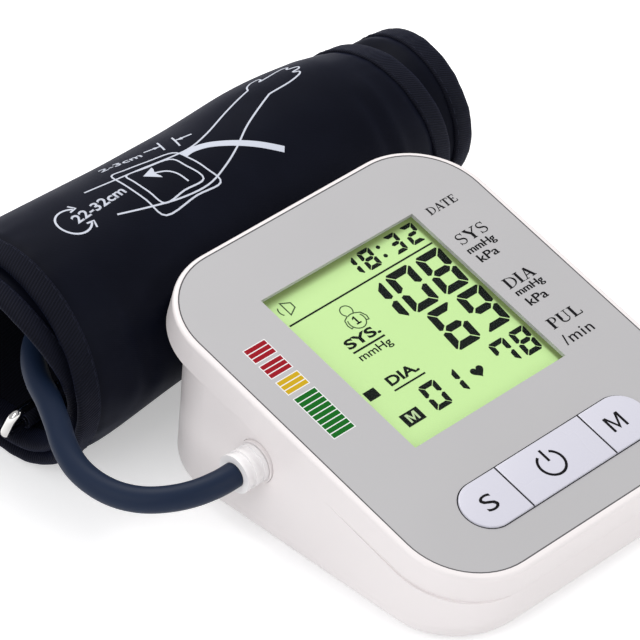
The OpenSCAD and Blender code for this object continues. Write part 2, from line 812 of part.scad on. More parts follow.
// Point of the rolled band: x along the roll, turn in degrees from the band's tail,
// depth below the band's outer face
function roll_point(x, turn, depth) =
  let (r = roll_r(x) - pitch * turn / 360 - depth, a = tail_angle - turn)
  [x, roll_y(x) + r * cos(a), roll_r(x) + r * sin(a)];

// Edges of the band
function left_edge(turn) = cuff_left - left_reach * lookup(turn, left_edges);
function right_edge(turn) = cuff_right + right_reach * lookup(turn, right_edges);

// Strip of the band between two turns and two depths. Each of its sides is a distance in
// from the band's left edge (-1) or its right edge (1).
function strip_x(side, turn) = side[0] < 0 ? left_edge(turn) + side[1] : right_edge(turn) - side[1];
module strip(from_turn, to_turn, outside, inside, from_side, to_side) {
  skin([
    for (turn = [from_turn:turn_step:to_turn])
      [
        roll_point(strip_x(from_side, turn), turn, outside),
        roll_point(strip_x(from_side, turn), turn, inside),
        roll_point(strip_x(to_side, turn), turn, inside),
        roll_point(strip_x(to_side, turn), turn, outside)
      ]
  ]);
}

module cuff_cover() color([0.09, 0.10, 0.15]) placed()
  strip(0, band_turn, 0, cloth_t, [-1, left_binding_w], [1, right_binding_w]);

module cuff_lining() color([0.07, 0.08, 0.12]) placed()
  strip(0, band_turn, band_t - cloth_t, band_t, [-1, left_binding_w], [1, right_binding_w]);

module air_bladder() color([0.25, 0.25, 0.27]) placed()
  strip(bladder_from, bladder_to, cloth_t + bladder_gap, band_t - cloth_t - bladder_gap,
    [-1, left_binding_w + bladder_edge], [1, right_binding_w + bladder_edge]);

module left_binding() color([0.11, 0.12, 0.17]) placed()
  strip(0, band_turn, -binding_step, band_t + binding_step, [-1, 0],
    [-1, left_binding_w - binding_gap]);

module right_binding() color([0.11, 0.12, 0.17]) placed()
  strip(0, band_turn, -binding_step, band_t + binding_step,
    [1, right_binding_w - binding_gap], [1, 0]);

// Hook tape on the inside of the band's tail, where it grips the next wrap
module hook_patch() color([0.05, 0.05, 0.07]) placed()
  strip(hook_from, hook_to, band_t + 2 * eps, band_t + hook_t,
    [-1, left_binding_w + hook_edge], [1, right_binding_w + hook_edge]);

// Elbow on the band's inner face, where the hose enters the bladder
module bladder_nipple() color([0.15, 0.17, 0.25]) placed() {
  end = hose_route[len(hose_route) - 1];
  elbow = end + [6, 0, 0];
  round_rod(end, elbow + [1, 0, 0], hose_r + 0.6);
  round_rod(elbow, roll_point(elbow[0], nipple_turn, band_t + 0.3), elbow_r);
}

module air_hose() color([0.16, 0.20, 0.30]) placed() {
  points = smooth_route(hose_route, hose_steps);
  skin([
    for (i = [0:len(points) - 1])
      round_ring(points[i], route_direction(points, i, [-1, 0, 0]), hose_r, hose_sides)
  ]);
}

// Axis of the ring's long rod, in the fold at the band's inner end
function ring_rod(x) = roll_point(x, band_turn + ring_step, band_t / 2 + 1);

// Fold of cloth round the ring's long rod
module ring_sleeve() color([0.09, 0.10, 0.15]) placed() difference() {
  union() {
    round_rod(ring_rod(cuff_left + sleeve_short), ring_rod(cuff_right), sleeve_r);
    strip(band_turn, band_turn + ring_step, cloth_t + 0.5, band_t - 0.2, [-1, sleeve_short],
      [1, sleeve_short]);
  }
  round_rod(ring_rod(cuff_left), ring_rod(cuff_right + sleeve_short), ring_wire_r + ring_fit);
}

// Loop of wire with its first long side along x and the other at y = w
module wire_loop(l, w, bend, r) {
  for (corner = [[bend, bend, 180], [l - bend, bend, 270], [l - bend, w - bend, 0], [bend, w - bend, 90]])
    translate([corner[0], corner[1], 0]) rotate([0, 0, corner[2]])
      rotate_extrude(angle = 90) translate([bend, 0]) circle(r);
  for (y = [0, w]) bar_x([bend, y, 0], l - 2 * bend, r);
  for (x = [0, l]) translate([x, bend, 0]) rotate([-90, 0, 0]) cylinder(h = w - 2 * bend, r = r);
}

module cuff_ring() color("silver") placed() {
  near = ring_rod(cuff_left - ring_out + ring_wire_r);
  far = ring_rod(cuff_right + sleeve_short);
  u = (far - near) / norm(far - near);
  square = cross(u, [0, cos(ring_lean), sin(ring_lean)]);
  n = square / norm(square);
  v = cross(n, u);
  multmatrix([
    [u[0], v[0], n[0], near[0]],
    [u[1], v[1], n[1], near[1]],
    [u[2], v[2], n[2], near[2]],
    [0, 0, 0, 1]
  ]) wire_loop(norm(far - near), ring_w, ring_bend, ring_wire_r);
}

top_case();
base_case();
face_panel();
lcd_window();
lcd_glass();
lcd_frame();
backlight();
main_board();
board_chips();
key_switches();
buzzer();
set_key();
power_key();
memory_key();
air_socket();
pump_motor();
pump_head();
pump_shaft();
release_valve();
valve_plunger();
pressure_sensor();
tube_junction();
air_tubes();
battery_cells();
battery_contacts();
battery_springs();
battery_door();
usb_socket();
case_screws();
rubber_feet();
hose_plug();
air_hose();
cuff_cover();
cuff_lining();
air_bladder();
left_binding();
right_binding();
hook_patch();
bladder_nipple();
ring_sleeve();
cuff_ring();
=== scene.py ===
import json
import math

import bmesh
import bpy
from mathutils import Matrix, Vector, noise
from mathutils.bvhtree import BVHTree


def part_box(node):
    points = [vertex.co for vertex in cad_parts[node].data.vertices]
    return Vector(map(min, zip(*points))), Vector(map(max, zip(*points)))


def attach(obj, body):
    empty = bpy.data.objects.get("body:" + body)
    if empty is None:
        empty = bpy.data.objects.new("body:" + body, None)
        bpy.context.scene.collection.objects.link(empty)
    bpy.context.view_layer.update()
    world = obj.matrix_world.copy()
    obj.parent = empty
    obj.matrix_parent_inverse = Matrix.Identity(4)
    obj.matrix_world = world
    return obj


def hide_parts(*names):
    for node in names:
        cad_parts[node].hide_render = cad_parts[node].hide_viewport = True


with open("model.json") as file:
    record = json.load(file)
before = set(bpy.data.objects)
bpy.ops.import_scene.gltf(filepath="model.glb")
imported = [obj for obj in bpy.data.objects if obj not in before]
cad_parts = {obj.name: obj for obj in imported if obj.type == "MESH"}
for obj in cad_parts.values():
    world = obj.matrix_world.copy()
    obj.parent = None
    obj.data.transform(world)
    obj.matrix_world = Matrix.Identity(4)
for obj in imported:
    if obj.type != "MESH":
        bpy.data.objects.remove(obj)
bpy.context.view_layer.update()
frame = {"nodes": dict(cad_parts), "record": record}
nodes = frame["nodes"]
scene = bpy.context.scene
mm = 0.001
print("frame loaded:", len(nodes), "nodes")

# the unit's centre is the middle of its four feet
feet = [Vector(mount["pos_m"]) for mount in frame["record"]["mounts"]]
unitCentre = sum(feet, Vector()) / len(feet)

# places in the photograph, which is 640 by 640
imagePoints = {
    "top": (398.6, 28),
    "rimLeft": (167.5, 322),
    "displayLeft": (261.2, 301.9),
    "displayBack": (410.2, 213.4),
    "displayRight": (565.9, 354.4),
    "displayFront": (415.2, 447.2),
    "plugEnd": (236.5, 472.8),
    "dateWord": (441.5, 204.7),
    "systolicWord": (471.4, 233.1),
    "diastolicWord": (518.6, 277.4),
    "pulseWord": (564, 316.5),
    "firstBars": (259.9, 351.7),
    "lastBars": (324.3, 412.9),
    "setLetter": (489.2, 502.4),
    "powerSign": (551.7, 462.9),
    "memoryLetter": (615.5, 421.8),
    "sizeArrow": (73.5, 221),
    "ringWire": (0.4, 432),
}
photoSize = 640

cameraSetup = {
    "azimuth": -43.835,
    "elevation": 37.536,
    "aim": (-0.01658, 0.028385, 0.04332),
    "distance": 1.175,
    "lens": 257.83,
    "sensor": 36,
    "clipEnd": 20,
}


def makeCamera():
    azimuth = math.radians(cameraSetup["azimuth"])
    elevation = math.radians(cameraSetup["elevation"])
    back = Vector((
        math.sin(azimuth) * math.cos(elevation),
        -math.cos(azimuth) * math.cos(elevation),
        math.sin(elevation),
    ))
    data = bpy.data.cameras.new("camera")
    data.lens = cameraSetup["lens"]
    data.sensor_width = cameraSetup["sensor"]
    data.sensor_fit = "AUTO"
    data.clip_end = cameraSetup["clipEnd"]
    camera = bpy.data.objects.new("camera", data)
    camera.location = unitCentre + Vector(cameraSetup["aim"]) + back * cameraSetup["distance"]
    camera.rotation_euler = back.to_track_quat("Z", "Y").to_euler()
    scene.collection.objects.link(camera)
    scene.camera = camera
    bpy.context.view_layer.update()
    return camera


camera = makeCamera()


def photoRay(name):
    # origin and direction of the ray through an image point
    x, y = imagePoints[name]
    data = camera.data
    local = Vector((
        x - photoSize / 2 + data.shift_x * photoSize,
        photoSize / 2 - y + data.shift_y * photoSize,
        -photoSize * data.lens / data.sensor_width,
    ))
    return camera.matrix_world.translation, (camera.matrix_world.to_3x3() @ local).normalized()


def inPhoto(point):
    # where a point of the model shows in the photograph's frame
    data = camera.data
    local = camera.matrix_world.inverted() @ Vector(point)
    scale = photoSize * data.lens / data.sensor_width / -local.z
    return (photoSize / 2 - data.shift_x * photoSize + local.x * scale,
            photoSize / 2 + data.shift_y * photoSize - local.y * scale)


def treeOf(item):
    vertices = [item.matrix_world @ v.co for v in item.data.vertices]
    return BVHTree.FromPolygons(vertices, [list(p.vertices) for p in item.data.polygons])


def placeFor(name, tree):
    # where the ray through an image point meets a surface, or the place nearest the ray
    origin, direction = photoRay(name)
    hit = tree.ray_cast(origin, direction)[0]
    if hit is not None:
        return hit
    tries = (tree.find_nearest(origin + direction * step * 0.01) for step in range(80, 160))
    return min(tries, key=lambda near: near[3])[0]


def spread(low, high, steps):
    # evenly spaced values from low to high
    return [low + (high - low) * i / steps for i in range(steps + 1)]


def newObject(name, vertices, faces):
    mesh = bpy.data.meshes.new(name)
    mesh.from_pydata([tuple(v) for v in vertices], [], faces)
    mesh.update()
    mesh.shade_smooth()
    item = bpy.data.objects.new(name, mesh)
    scene.collection.objects.link(item)
    return item


def fromBmesh(name, mesh):
    data = bpy.data.meshes.new(name)
    mesh.to_mesh(data)
    mesh.free()
    item = bpy.data.objects.new(name, data)
    scene.collection.objects.link(item)
    return item


def tubeFaces(rings, sides, looped=False, capped=True):
    # faces between rings of vertices, with both ends closed unless the rings meet
    faces = []
    for i in range(rings if looped else rings - 1):
        here, after = i * sides, (i + 1) % rings * sides
        for k in range(sides):
            n = (k + 1) % sides
            faces.append((here + k, here + n, after + n, after + k))
    if capped and not looped:
        faces += [tuple(reversed(range(sides))), tuple(range((rings - 1) * sides, rings * sides))]
    return faces


def setMaterial(item, material):
    item.data.materials.clear()
    item.data.materials.append(material)


def finishPiece(item, material, body):
    setMaterial(item, materials[material])
    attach(item, body)
    return item


def joined(name, items):
    # one piece from several of the same body
    with bpy.context.temp_override(active_object=items[0], selected_editable_objects=items,
                                   selected_objects=items, object=items[0]):
        bpy.ops.object.join()
    items[0].name = items[0].data.name = name
    return items[0]


def setInputs(tree, node, values):
    # each input takes a value, or a link where it is given another node's output
    for key, value in values.items():
        if isinstance(value, bpy.types.NodeSocket):
            tree.links.new(value, node.inputs[key])
        else:
            node.inputs[key].default_value = value


def addNode(tree, kind, values=None, **settings):
    node = tree.nodes.new(kind)
    for key, value in settings.items():
        setattr(node, key, value)
    setInputs(tree, node, values or {})
    return node


def calculate(tree, operation, *values):
    return addNode(tree, "ShaderNodeMath", dict(enumerate(values)), operation=operation).outputs[0]


def noiseOf(tree, place, scale, detail, **more):
    values = {"Vector": place, "Scale": scale, "Detail": detail, **more}
    return addNode(tree, "ShaderNodeTexNoise", values).outputs["Fac"]


def mapRange(tree, value, low, high, toLow=0.0, toHigh=1.0, **settings):
    values = {"Value": value, "From Min": low, "From Max": high, "To Min": toLow, "To Max": toHigh}
    return addNode(tree, "ShaderNodeMapRange", values, **settings).outputs[0]


def scaled(tree, colour, amount):
    return addNode(tree, "ShaderNodeVectorMath", {0: colour, "Scale": amount}, operation="SCALE").outputs[0]


def newMaterial(name):
    material = bpy.data.materials.new(name)
    material.use_nodes = True
    return material, material.node_tree, material.node_tree.nodes["Principled BSDF"]


def newGroup(name, inputs):
    # a shader group that gives a colour, a roughness and a normal
    group = bpy.data.node_groups.new(name, "ShaderNodeTree")
    for label, value in inputs.items():
        kind = "NodeSocketFloat" if isinstance(value, float) else "NodeSocketColor"
        group.interface.new_socket(name=label, in_out="INPUT", socket_type=kind).default_value = value
    for label, kind in (("Color", "Color"), ("Roughness", "Float"), ("Normal", "Vector")):
        group.interface.new_socket(name=label, in_out="OUTPUT", socket_type="NodeSocket" + kind)
    return group, group.nodes.new("NodeGroupInput").outputs, group.nodes.new("NodeGroupOutput")


def groupMaterial(name, group, groupValues, shaderValues):
    material, tree, shader = newMaterial(name)
    surface = addNode(tree, "ShaderNodeGroup", groupValues, node_tree=group).outputs
    setInputs(tree, shader, {"Base Color": surface["Color"], "Roughness": surface["Roughness"],
                             "Normal": surface["Normal"], **shaderValues})
    return material


def makeMouldedGroup():
    # fine grain, faint mottling and a little uneven gloss, for moulded and lacquered pieces
    group, into, out = newGroup("mouldedSurface", {
        "Color": (0.8, 0.8, 0.8, 1), "Mottle": 0.04, "Roughness": 0.35, "Grain Scale": 900.0,
        "Grain Depth": 0.1})
    place = addNode(group, "ShaderNodeTexCoord").outputs["Object"]
    cloud = calculate(group, "SUBTRACT", noiseOf(group, place, 28.0, 3.0), 0.5)
    grain = noiseOf(group, place, into["Grain Scale"], 2.0)
    amount = calculate(group, "MULTIPLY_ADD", cloud, into["Mottle"], 1.0)
    bump = addNode(group, "ShaderNodeBump", {"Distance": 0.00005, "Strength": into["Grain Depth"],
                                             "Height": grain})
    setInputs(group, out, {"Color": scaled(group, into["Color"], amount),
                           "Roughness": calculate(group, "MULTIPLY_ADD", cloud, 0.12, into["Roughness"]),
                           "Normal": bump.outputs[0]})
    return group


mouldedGroup = makeMouldedGroup()
plainFinish = {"mottle": 0.04, "grainScale": 900.0, "grainDepth": 0.1, "metallic": 0.0, "specular": 0.5}


def mouldedMaterial(name, look):
    look = {**plainFinish, **look}
    return groupMaterial(
        name, mouldedGroup,
        {"Color": (*look["color"], 1), "Mottle": look["mottle"], "Roughness": look["roughness"],
         "Grain Scale": look["grainScale"], "Grain Depth": look["grainDepth"]},
        {"Metallic": look["metallic"], "IOR": 1.46, "Specular IOR Level": look["specular"]})


printed = {"roughness": 0.6, "specular": 0.08}
onDisplay = {"roughness": 0.6, "grainDepth": 0.02, "specular": 0.05}
finishes = {
    "whiteCase": {"color": (0.835, 0.79, 0.785), "roughness": 0.32, "mottle": 0.02, "grainDepth": 0.06},
    "plugPlastic": {"color": (0.90, 0.88, 0.88), "roughness": 0.3, "mottle": 0.02, "grainDepth": 0.05},
    "silverFace": {"color": (0.462, 0.456, 0.463), "roughness": 0.44, "mottle": 0.05, "metallic": 0.1,
                   "grainScale": 1600.0, "specular": 0.35},
    "keyPlastic": {"color": (0.62, 0.615, 0.69), "roughness": 0.28, "mottle": 0.03, "grainDepth": 0.04},
    "whiteInner": {"color": (0.72, 0.71, 0.68), "roughness": 0.5},
    "blackInner": {"color": (0.02, 0.02, 0.022), "roughness": 0.45, "grainDepth": 0.25},
    "boardGreen": {"color": (0.02, 0.14, 0.05), "roughness": 0.3, "mottle": 0.25},
    "steel": {"color": (0.55, 0.55, 0.56), "roughness": 0.3, "metallic": 1.0, "mottle": 0.1},
    "brassPart": {"color": (0.68, 0.48, 0.2), "roughness": 0.28, "metallic": 1.0, "mottle": 0.1},
    "ringWire": {"color": (0.75, 0.74, 0.72), "roughness": 0.14, "metallic": 1.0, "mottle": 0.06},
    "cellSleeve": {"color": (0.05, 0.09, 0.2), "roughness": 0.3, "mottle": 0.1},
    "softTube": {"color": (0.62, 0.6, 0.54), "roughness": 0.4, "mottle": 0.06},
    "footRubber": {"color": (0.02, 0.02, 0.022), "roughness": 0.75, "grainDepth": 0.35},
    "hoseRubber": {"color": (0.008, 0.0165, 0.040), "roughness": 0.5, "mottle": 0.16, "grainScale": 700.0,
                   "grainDepth": 0.18, "specular": 0.2},
    "ink": {"color": (0.006, 0.006, 0.007), **printed},
    "redInk": {"color": (0.30, 0.008, 0.016), **printed},
    "yellowInk": {"color": (0.56, 0.36, 0.012), **printed},
    "greenInk": {"color": (0.006, 0.125, 0.012), **printed},
    "whiteInk": {"color": (0.80, 0.80, 0.80), "roughness": 0.6, "specular": 0.2},
    "gapShade": {"color": (0.02, 0.02, 0.022), "roughness": 0.8, "specular": 0.05},
    "seamShade": {"color": (0.10, 0.098, 0.102), "roughness": 0.8, "specular": 0.05},
    "clothPrint": {"color": (0.58, 0.61, 0.69), "roughness": 0.7, "mottle": 0.1, "specular": 0.1},
    "thread": {"color": (0.010, 0.012, 0.024), "roughness": 0.6, "mottle": 0.2, "specular": 0.15},
    "displayInk": {"color": (0.004, 0.006, 0.005), "mottle": 0.2, **onDisplay},
    "displayFaint": {"color": (0.06, 0.10, 0.045), "mottle": 0.2, **onDisplay},
    "displayLight": {"color": (0.50, 0.66, 0.36), "mottle": 0.1, **onDisplay},
}
materials = {name: mouldedMaterial(name, look) for name, look in finishes.items()}

nodeFinish = {
    "whiteCase": ["top_case", "base_case", "air_socket", "battery_door"],
    "plugPlastic": ["hose_plug"],
    "silverFace": ["face_panel"],
    "keyPlastic": ["set_key", "power_key", "memory_key"],
    "whiteInner": ["backlight", "tube_junction", "pressure_sensor"],
    "blackInner": ["lcd_frame", "board_chips", "key_switches", "buzzer", "pump_head", "valve_plunger"],
    "boardGreen": ["main_board"],
    "steel": ["pump_motor", "release_valve", "battery_contacts", "battery_springs", "usb_socket",
              "case_screws"],
    "brassPart": ["pump_shaft"],
    "ringWire": ["cuff_ring"],
    "cellSleeve": ["battery_cells"],
    "softTube": ["air_tubes"],
    "footRubber": ["rubber_feet", "hook_patch"],
    "hoseRubber": ["bladder_nipple", "air_bladder", "air_hose"],
}
for finish, names in nodeFinish.items():
    for name in names:
        setMaterial(nodes[name], materials[finish])
print("materials made")

stage = {"reach": 6, "height": -0.0002, "color": (0.86, 0.86, 0.86, 1), "glow": 0.42,
         "room": (0.96, 0.955, 0.975, 1), "roomLight": 0.55}
lamps = {
    "keyLamp": {"place": (0.25, 0.75, 1.25), "size": (0.9, 0.9), "energy": 13, "color": (1, 0.99, 0.97)},
    "sideLamp": {"place": (-1.3, -0.2, 0.9), "size": (0.8, 1.2), "energy": 8, "color": (0.97, 0.98, 1)},
    "frontLamp": {"place": (0.5, -1.4, 0.7), "size": (1.2, 0.7), "energy": 6, "color": (1, 1, 1)},
}
lampAim = Vector((0, 0, 0.03))


def makeStage():
    reach = stage["reach"]
    corners = [(-reach, -reach, 0), (reach, -reach, 0), (reach, reach, 0), (-reach, reach, 0)]
    floor = newObject("floor", corners, [(0, 1, 2, 3)])
    floor.location.z = stage["height"]
    material, tree, shader = newMaterial("paleFloor")
    setInputs(tree, shader, {"Base Color": stage["color"], "Roughness": 0.9})
    # seen by the camera or in gloss, the floor is nearly white and keeps the shadow
    glow = addNode(tree, "ShaderNodeEmission", {"Color": (1, 1, 1, 1), "Strength": stage["glow"]})
    path = addNode(tree, "ShaderNodeLightPath").outputs
    seen = calculate(tree, "MAXIMUM", path["Is Camera Ray"], path["Is Glossy Ray"])
    both = addNode(tree, "ShaderNodeAddShader", {0: shader.outputs[0], 1: glow.outputs[0]})
    choice = addNode(tree, "ShaderNodeMixShader", {0: seen, 1: shader.outputs[0], 2: both.outputs[0]})
    setInputs(tree, tree.nodes["Material Output"], {"Surface": choice.outputs[0]})
    setMaterial(floor, material)


def makeWorld():
    world = bpy.data.worlds.new("world")
    world.use_nodes = True
    scene.world = world
    tree = world.node_tree
    room = tree.nodes["Background"]
    setInputs(tree, room, {"Color": stage["room"], "Strength": stage["roomLight"]})
    white = addNode(tree, "ShaderNodeBackground", {"Color": (1, 1, 1, 1), "Strength": 1.0})
    path = addNode(tree, "ShaderNodeLightPath").outputs
    choice = addNode(tree, "ShaderNodeMixShader",
                     {0: path["Is Camera Ray"], 1: room.outputs[0], 2: white.outputs[0]})
    setInputs(tree, tree.nodes["World Output"], {"Surface": choice.outputs[0]})


def makeLamp(name, look):
    data = bpy.data.lights.new(name, "AREA")
    data.shape = "RECTANGLE"
    data.size, data.size_y = look["size"]
    data.energy = look["energy"]
    data.color = look["color"]
    lamp = bpy.data.objects.new(name, data)
    lamp.location = look["place"]
    lamp.rotation_euler = (lampAim - lamp.location).to_track_quat("-Z", "Y").to_euler()
    scene.collection.objects.link(lamp)


makeStage()
makeWorld()
for name, look in lamps.items():
    makeLamp(name, look)
scene.view_settings.view_transform = "Standard"
print("stage and light made")

faceTilt = math.radians(15.3)
faceCentre = unitCentre + Vector((0, 0, 0.0385))
faceMatrix = Matrix.Translation(faceCentre) @ Matrix.Rotation(faceTilt, 4, "X")
faceInverse = faceMatrix.inverted()


def facePlace(name, carrier):
    # millimetres on the face where an image point falls on the node that carries it
    place = faceInverse @ placeFor(name, treeOf(nodes[carrier])) / mm
    return place.x, place.y


def signs(name, outlines, low, high, material, body="monitor"):
    # flat signs on the face: each outline becomes a plate from low to high
    mesh = bmesh.new()
    for outline in outlines:
        outline = list(outline)
        area = sum(a[0] * b[1] - b[0] * a[1] for a, b in zip(outline, outline[1:] + outline[:1]))
        if area < 0:
            outline.reverse()
        bottom = [mesh.verts.new((x * mm, y * mm, low * mm)) for x, y in outline]
        top = [mesh.verts.new((x * mm, y * mm, high * mm)) for x, y in outline]
        mesh.faces.new(top)
        mesh.faces.new(bottom[::-1])
        for i in range(len(outline)):
            mesh.faces.new((bottom[i - 1], bottom[i], top[i], top[i - 1]))
    bmesh.ops.transform(mesh, matrix=faceMatrix, verts=mesh.verts)
    return finishPiece(fromBmesh(name, mesh), material, body)


def turned(points, angle, x, y):
    c, s = math.cos(angle), math.sin(angle)
    return [(x + px * c - py * s, y + px * s + py * c) for px, py in points]


def stroke(points, width):
    # a line of even width, one quad for each straight run
    quads = []
    for (ax, ay), (bx, by) in zip(points, points[1:]):
        length = math.dist((ax, ay), (bx, by))
        nx, ny = (ay - by) / length * width / 2, (bx - ax) / length * width / 2
        quads.append([(ax + nx, ay + ny), (ax - nx, ay - ny), (bx - nx, by - ny), (bx + nx, by + ny)])
    return quads


def ribbon(points, width, closed=False):
    # one outline along a line with mitred bends, or a closed row of quads; the width may change along it
    n = len(points)
    left, right = [], []
    for i, here in enumerate(points):
        before = points[i - 1] if closed or i > 0 else here
        after = points[(i + 1) % n] if closed or i < n - 1 else here
        runs = [Vector(b) - Vector(a) for a, b in ((before, here), (here, after)) if a is not b]
        normals = [Vector((-run.y, run.x)).normalized() for run in (runs[0], runs[-1])]
        middle = (normals[0] + normals[1]).normalized()
        half = (width(i / (n - 1)) if callable(width) else width) / 2
        reach = middle * (half / max(0.4, middle.dot(normals[0])))
        left.append((here[0] + reach.x, here[1] + reach.y))
        right.append((here[0] - reach.x, here[1] - reach.y))
    if closed:
        return [[left[i - 1], right[i - 1], right[i], left[i]] for i in range(n)]
    return [left + right[::-1]]


def arc(x, y, r, start, end, steps=20):
    turns = [math.radians(turn) for turn in spread(start, end, steps)]
    return [(x + r * math.cos(turn), y + r * math.sin(turn)) for turn in turns]


def box(left, right, front, back):
    return [(left, front), (right, front), (right, back), (left, back)]


def roundedOutline(width, length, radius, x, y):
    # corners rounded, counter-clockwise, about a centre
    w, h = width / 2 - radius, length / 2 - radius
    outline = []
    for cx, cy, start in ((w, -h, -90), (w, h, 0), (-w, h, 90), (-w, -h, 180)):
        outline += arc(x + cx, y + cy, radius, start, start + 90, 16)
    return [p for p, q in zip(outline, outline[1:] + outline[:1]) if math.dist(p, q) > 0.001]


def letterM(x, y, width, height, weight):
    # outline of a sans capital M about a centre
    w, h, t = width / 2, height / 2, weight
    left = [(-w, -h), (-w, h), (-w + t * 1.35, h)]
    inner = [(-w + t, h - t * 1.3), (-w + t, -h)]
    outline = left + [(0, -h + t * 1.9)] + [(-px, py) for px, py in left[::-1]]
    outline += [(-px, py) for px, py in inner[::-1]] + [(0, -h + t * 0.1)] + inner
    return [(x + px, y + py) for px, py in outline]


def wordSolid(words, width, height, bold=0.0, spacing=1.0):
    # sans lettering as a thin solid about the origin, in millimetres, and its upper vertices
    curve = bpy.data.curves.new("words", "FONT")
    curve.body = words
    curve.size = 1.0
    curve.space_character = spacing
    curve.offset = bold
    curve.resolution_u = 4
    item = bpy.data.objects.new("words", curve)
    scene.collection.objects.link(item)
    bpy.context.view_layer.update()
    data = bpy.data.meshes.new_from_object(item.evaluated_get(bpy.context.evaluated_depsgraph_get()))
    bpy.data.objects.remove(item)
    low = [min(v.co[k] for v in data.vertices) for k in (0, 1)]
    high = [max(v.co[k] for v in data.vertices) for k in (0, 1)]
    for v in data.vertices:
        v.co = Vector(((v.co.x - (low[0] + high[0]) / 2) * width / (high[0] - low[0]),
                       (v.co.y - (low[1] + high[1]) / 2) * height / (high[1] - low[1]), 0))
    mesh = bmesh.new()
    mesh.from_mesh(data)
    bpy.data.meshes.remove(data)
    bmesh.ops.remove_doubles(mesh, verts=mesh.verts, dist=0.002)
    made = bmesh.ops.extrude_face_region(mesh, geom=list(mesh.faces))
    return mesh, {part for part in made["geom"] if isinstance(part, bmesh.types.BMVert)}


def textSign(name, words, x, y, width, height, low, high, material, body="monitor", **more):
    # sans lettering as a thin plate on the face
    mesh, raised = wordSolid(words, width, height, **more)
    for v in mesh.verts:
        v.co = faceMatrix @ (Vector((x + v.co.x, y + v.co.y, high if v in raised else low)) * mm)
    bmesh.ops.recalc_face_normals(mesh, faces=mesh.faces)
    return finishPiece(fromBmesh(name, mesh), material, body)


# the lit display, in millimetres on the face
display = {
    "left": -27.2, "right": 27.2, "front": -17.8, "back": 40.6, "low": -2.62, "high": -2.53, "lean": 0.085,
    # the olive tint is painted shade of the window's walls on the display
    "paintedShadeTint": (0.16, 0.22, 0.075, 1), "lit": (0.378, 0.551, 0.226, 1), "glow": 0.55,
    # how far in from each edge the painted shade of the window's walls reaches
    "paintedShadeFades": (("Y", "back", -2.6), ("X", "right", -0.9), ("X", "left", 0.9), ("Y", "front", 0.8)),
}


def makeDisplayMaterial():
    # lit pale green, with painted shade of the window's walls: olive along the back and right edges, a little
    # darker along the left and front
    material, tree, shader = newMaterial("litDisplay")
    place = addNode(tree, "ShaderNodeTexCoord").outputs["Object"]
    turn = addNode(tree, "ShaderNodeMapping", {"Vector": place, "Location": faceCentre,
                                               "Rotation": (faceTilt, 0, 0)}, vector_type="TEXTURE")
    split = addNode(tree, "ShaderNodeSeparateXYZ", {0: turn.outputs[0]}).outputs
    # painted shade: the colour falls off towards each edge of the window
    paintedShadeFades = [mapRange(tree, split[axis], display[edge] * mm, (display[edge] + reach) * mm,
                      interpolation_type="SMOOTHSTEP") for axis, edge, reach in display["paintedShadeFades"]]
    backRightShade = calculate(tree, "MULTIPLY", paintedShadeFades[0], paintedShadeFades[1])
    leftFrontShade = mapRange(tree, calculate(tree, "MULTIPLY", paintedShadeFades[2], paintedShadeFades[3]), 0.0, 1.0, 0.72, 1.0)
    cloud = mapRange(tree, noiseOf(tree, place, 24.0, 1.0), 0.0, 1.0, 0.94, 1.03)
    light = calculate(tree, "MULTIPLY", calculate(tree, "MULTIPLY", backRightShade, leftFrontShade), cloud)
    tint = addNode(tree, "ShaderNodeMix", {"A": display["paintedShadeTint"], "B": display["lit"], "Factor": light},
                   data_type="RGBA").outputs["Result"]
    setInputs(tree, shader, {"Base Color": tint, "Emission Color": tint,
                             "Emission Strength": display["glow"], "Roughness": 0.5})
    return material


def makeWindowMaterial():
    material, tree, shader = newMaterial("clearWindow")
    dust = noiseOf(tree, addNode(tree, "ShaderNodeTexCoord").outputs["Object"], 420.0, 2.0)
    setInputs(tree, shader, {"Roughness": mapRange(tree, dust, 0.3, 0.75, 0.02, 0.06),
                             "Base Color": (0.1, 0.13, 0.11, 1), "Alpha": 0.03, "IOR": 1.49})
    return material


setMaterial(nodes["lcd_glass"], makeDisplayMaterial())
setMaterial(nodes["lcd_window"], makeWindowMaterial())

# each number: the digit, its left edge and foot, width, height and bar thickness
numbers = [
    ("1", 2.8, 33.4, 1.7, 6.7, 1.3), ("8", 6.1, 33.4, 4.4, 6.7, 1.2),
    ("3", 15.8, 33.4, 4.2, 6.7, 1.2), ("2", 21.8, 33.4, 4.5, 6.7, 1.2),
    ("1", 1.4, 15.8, 2.9, 14.1, 2.4), ("0", 6.0, 15.8, 8.9, 14.1, 2.3), ("8", 17.0, 15.8, 8.9, 14.1, 2.3),
    ("6", 6.4, 0.3, 8.8, 14.1, 2.3), ("9", 17.2, 0.3, 8.9, 14.1, 2.3),
    ("0", -12.1, -11.2, 5.7, 8.7, 1.5), ("1", -1.7, -11.0, 2.0, 8.4, 1.5),
    ("7", 13.3, -11.2, 5.6, 8.7, 1.5), ("8", 20.7, -11.3, 5.6, 8.8, 1.5),
]
litBars = {"0": "abcdef", "1": "bc", "2": "abged", "3": "abgcd", "6": "afgedc", "7": "abcf",
           "8": "abcdefg", "9": "abcdfg"}


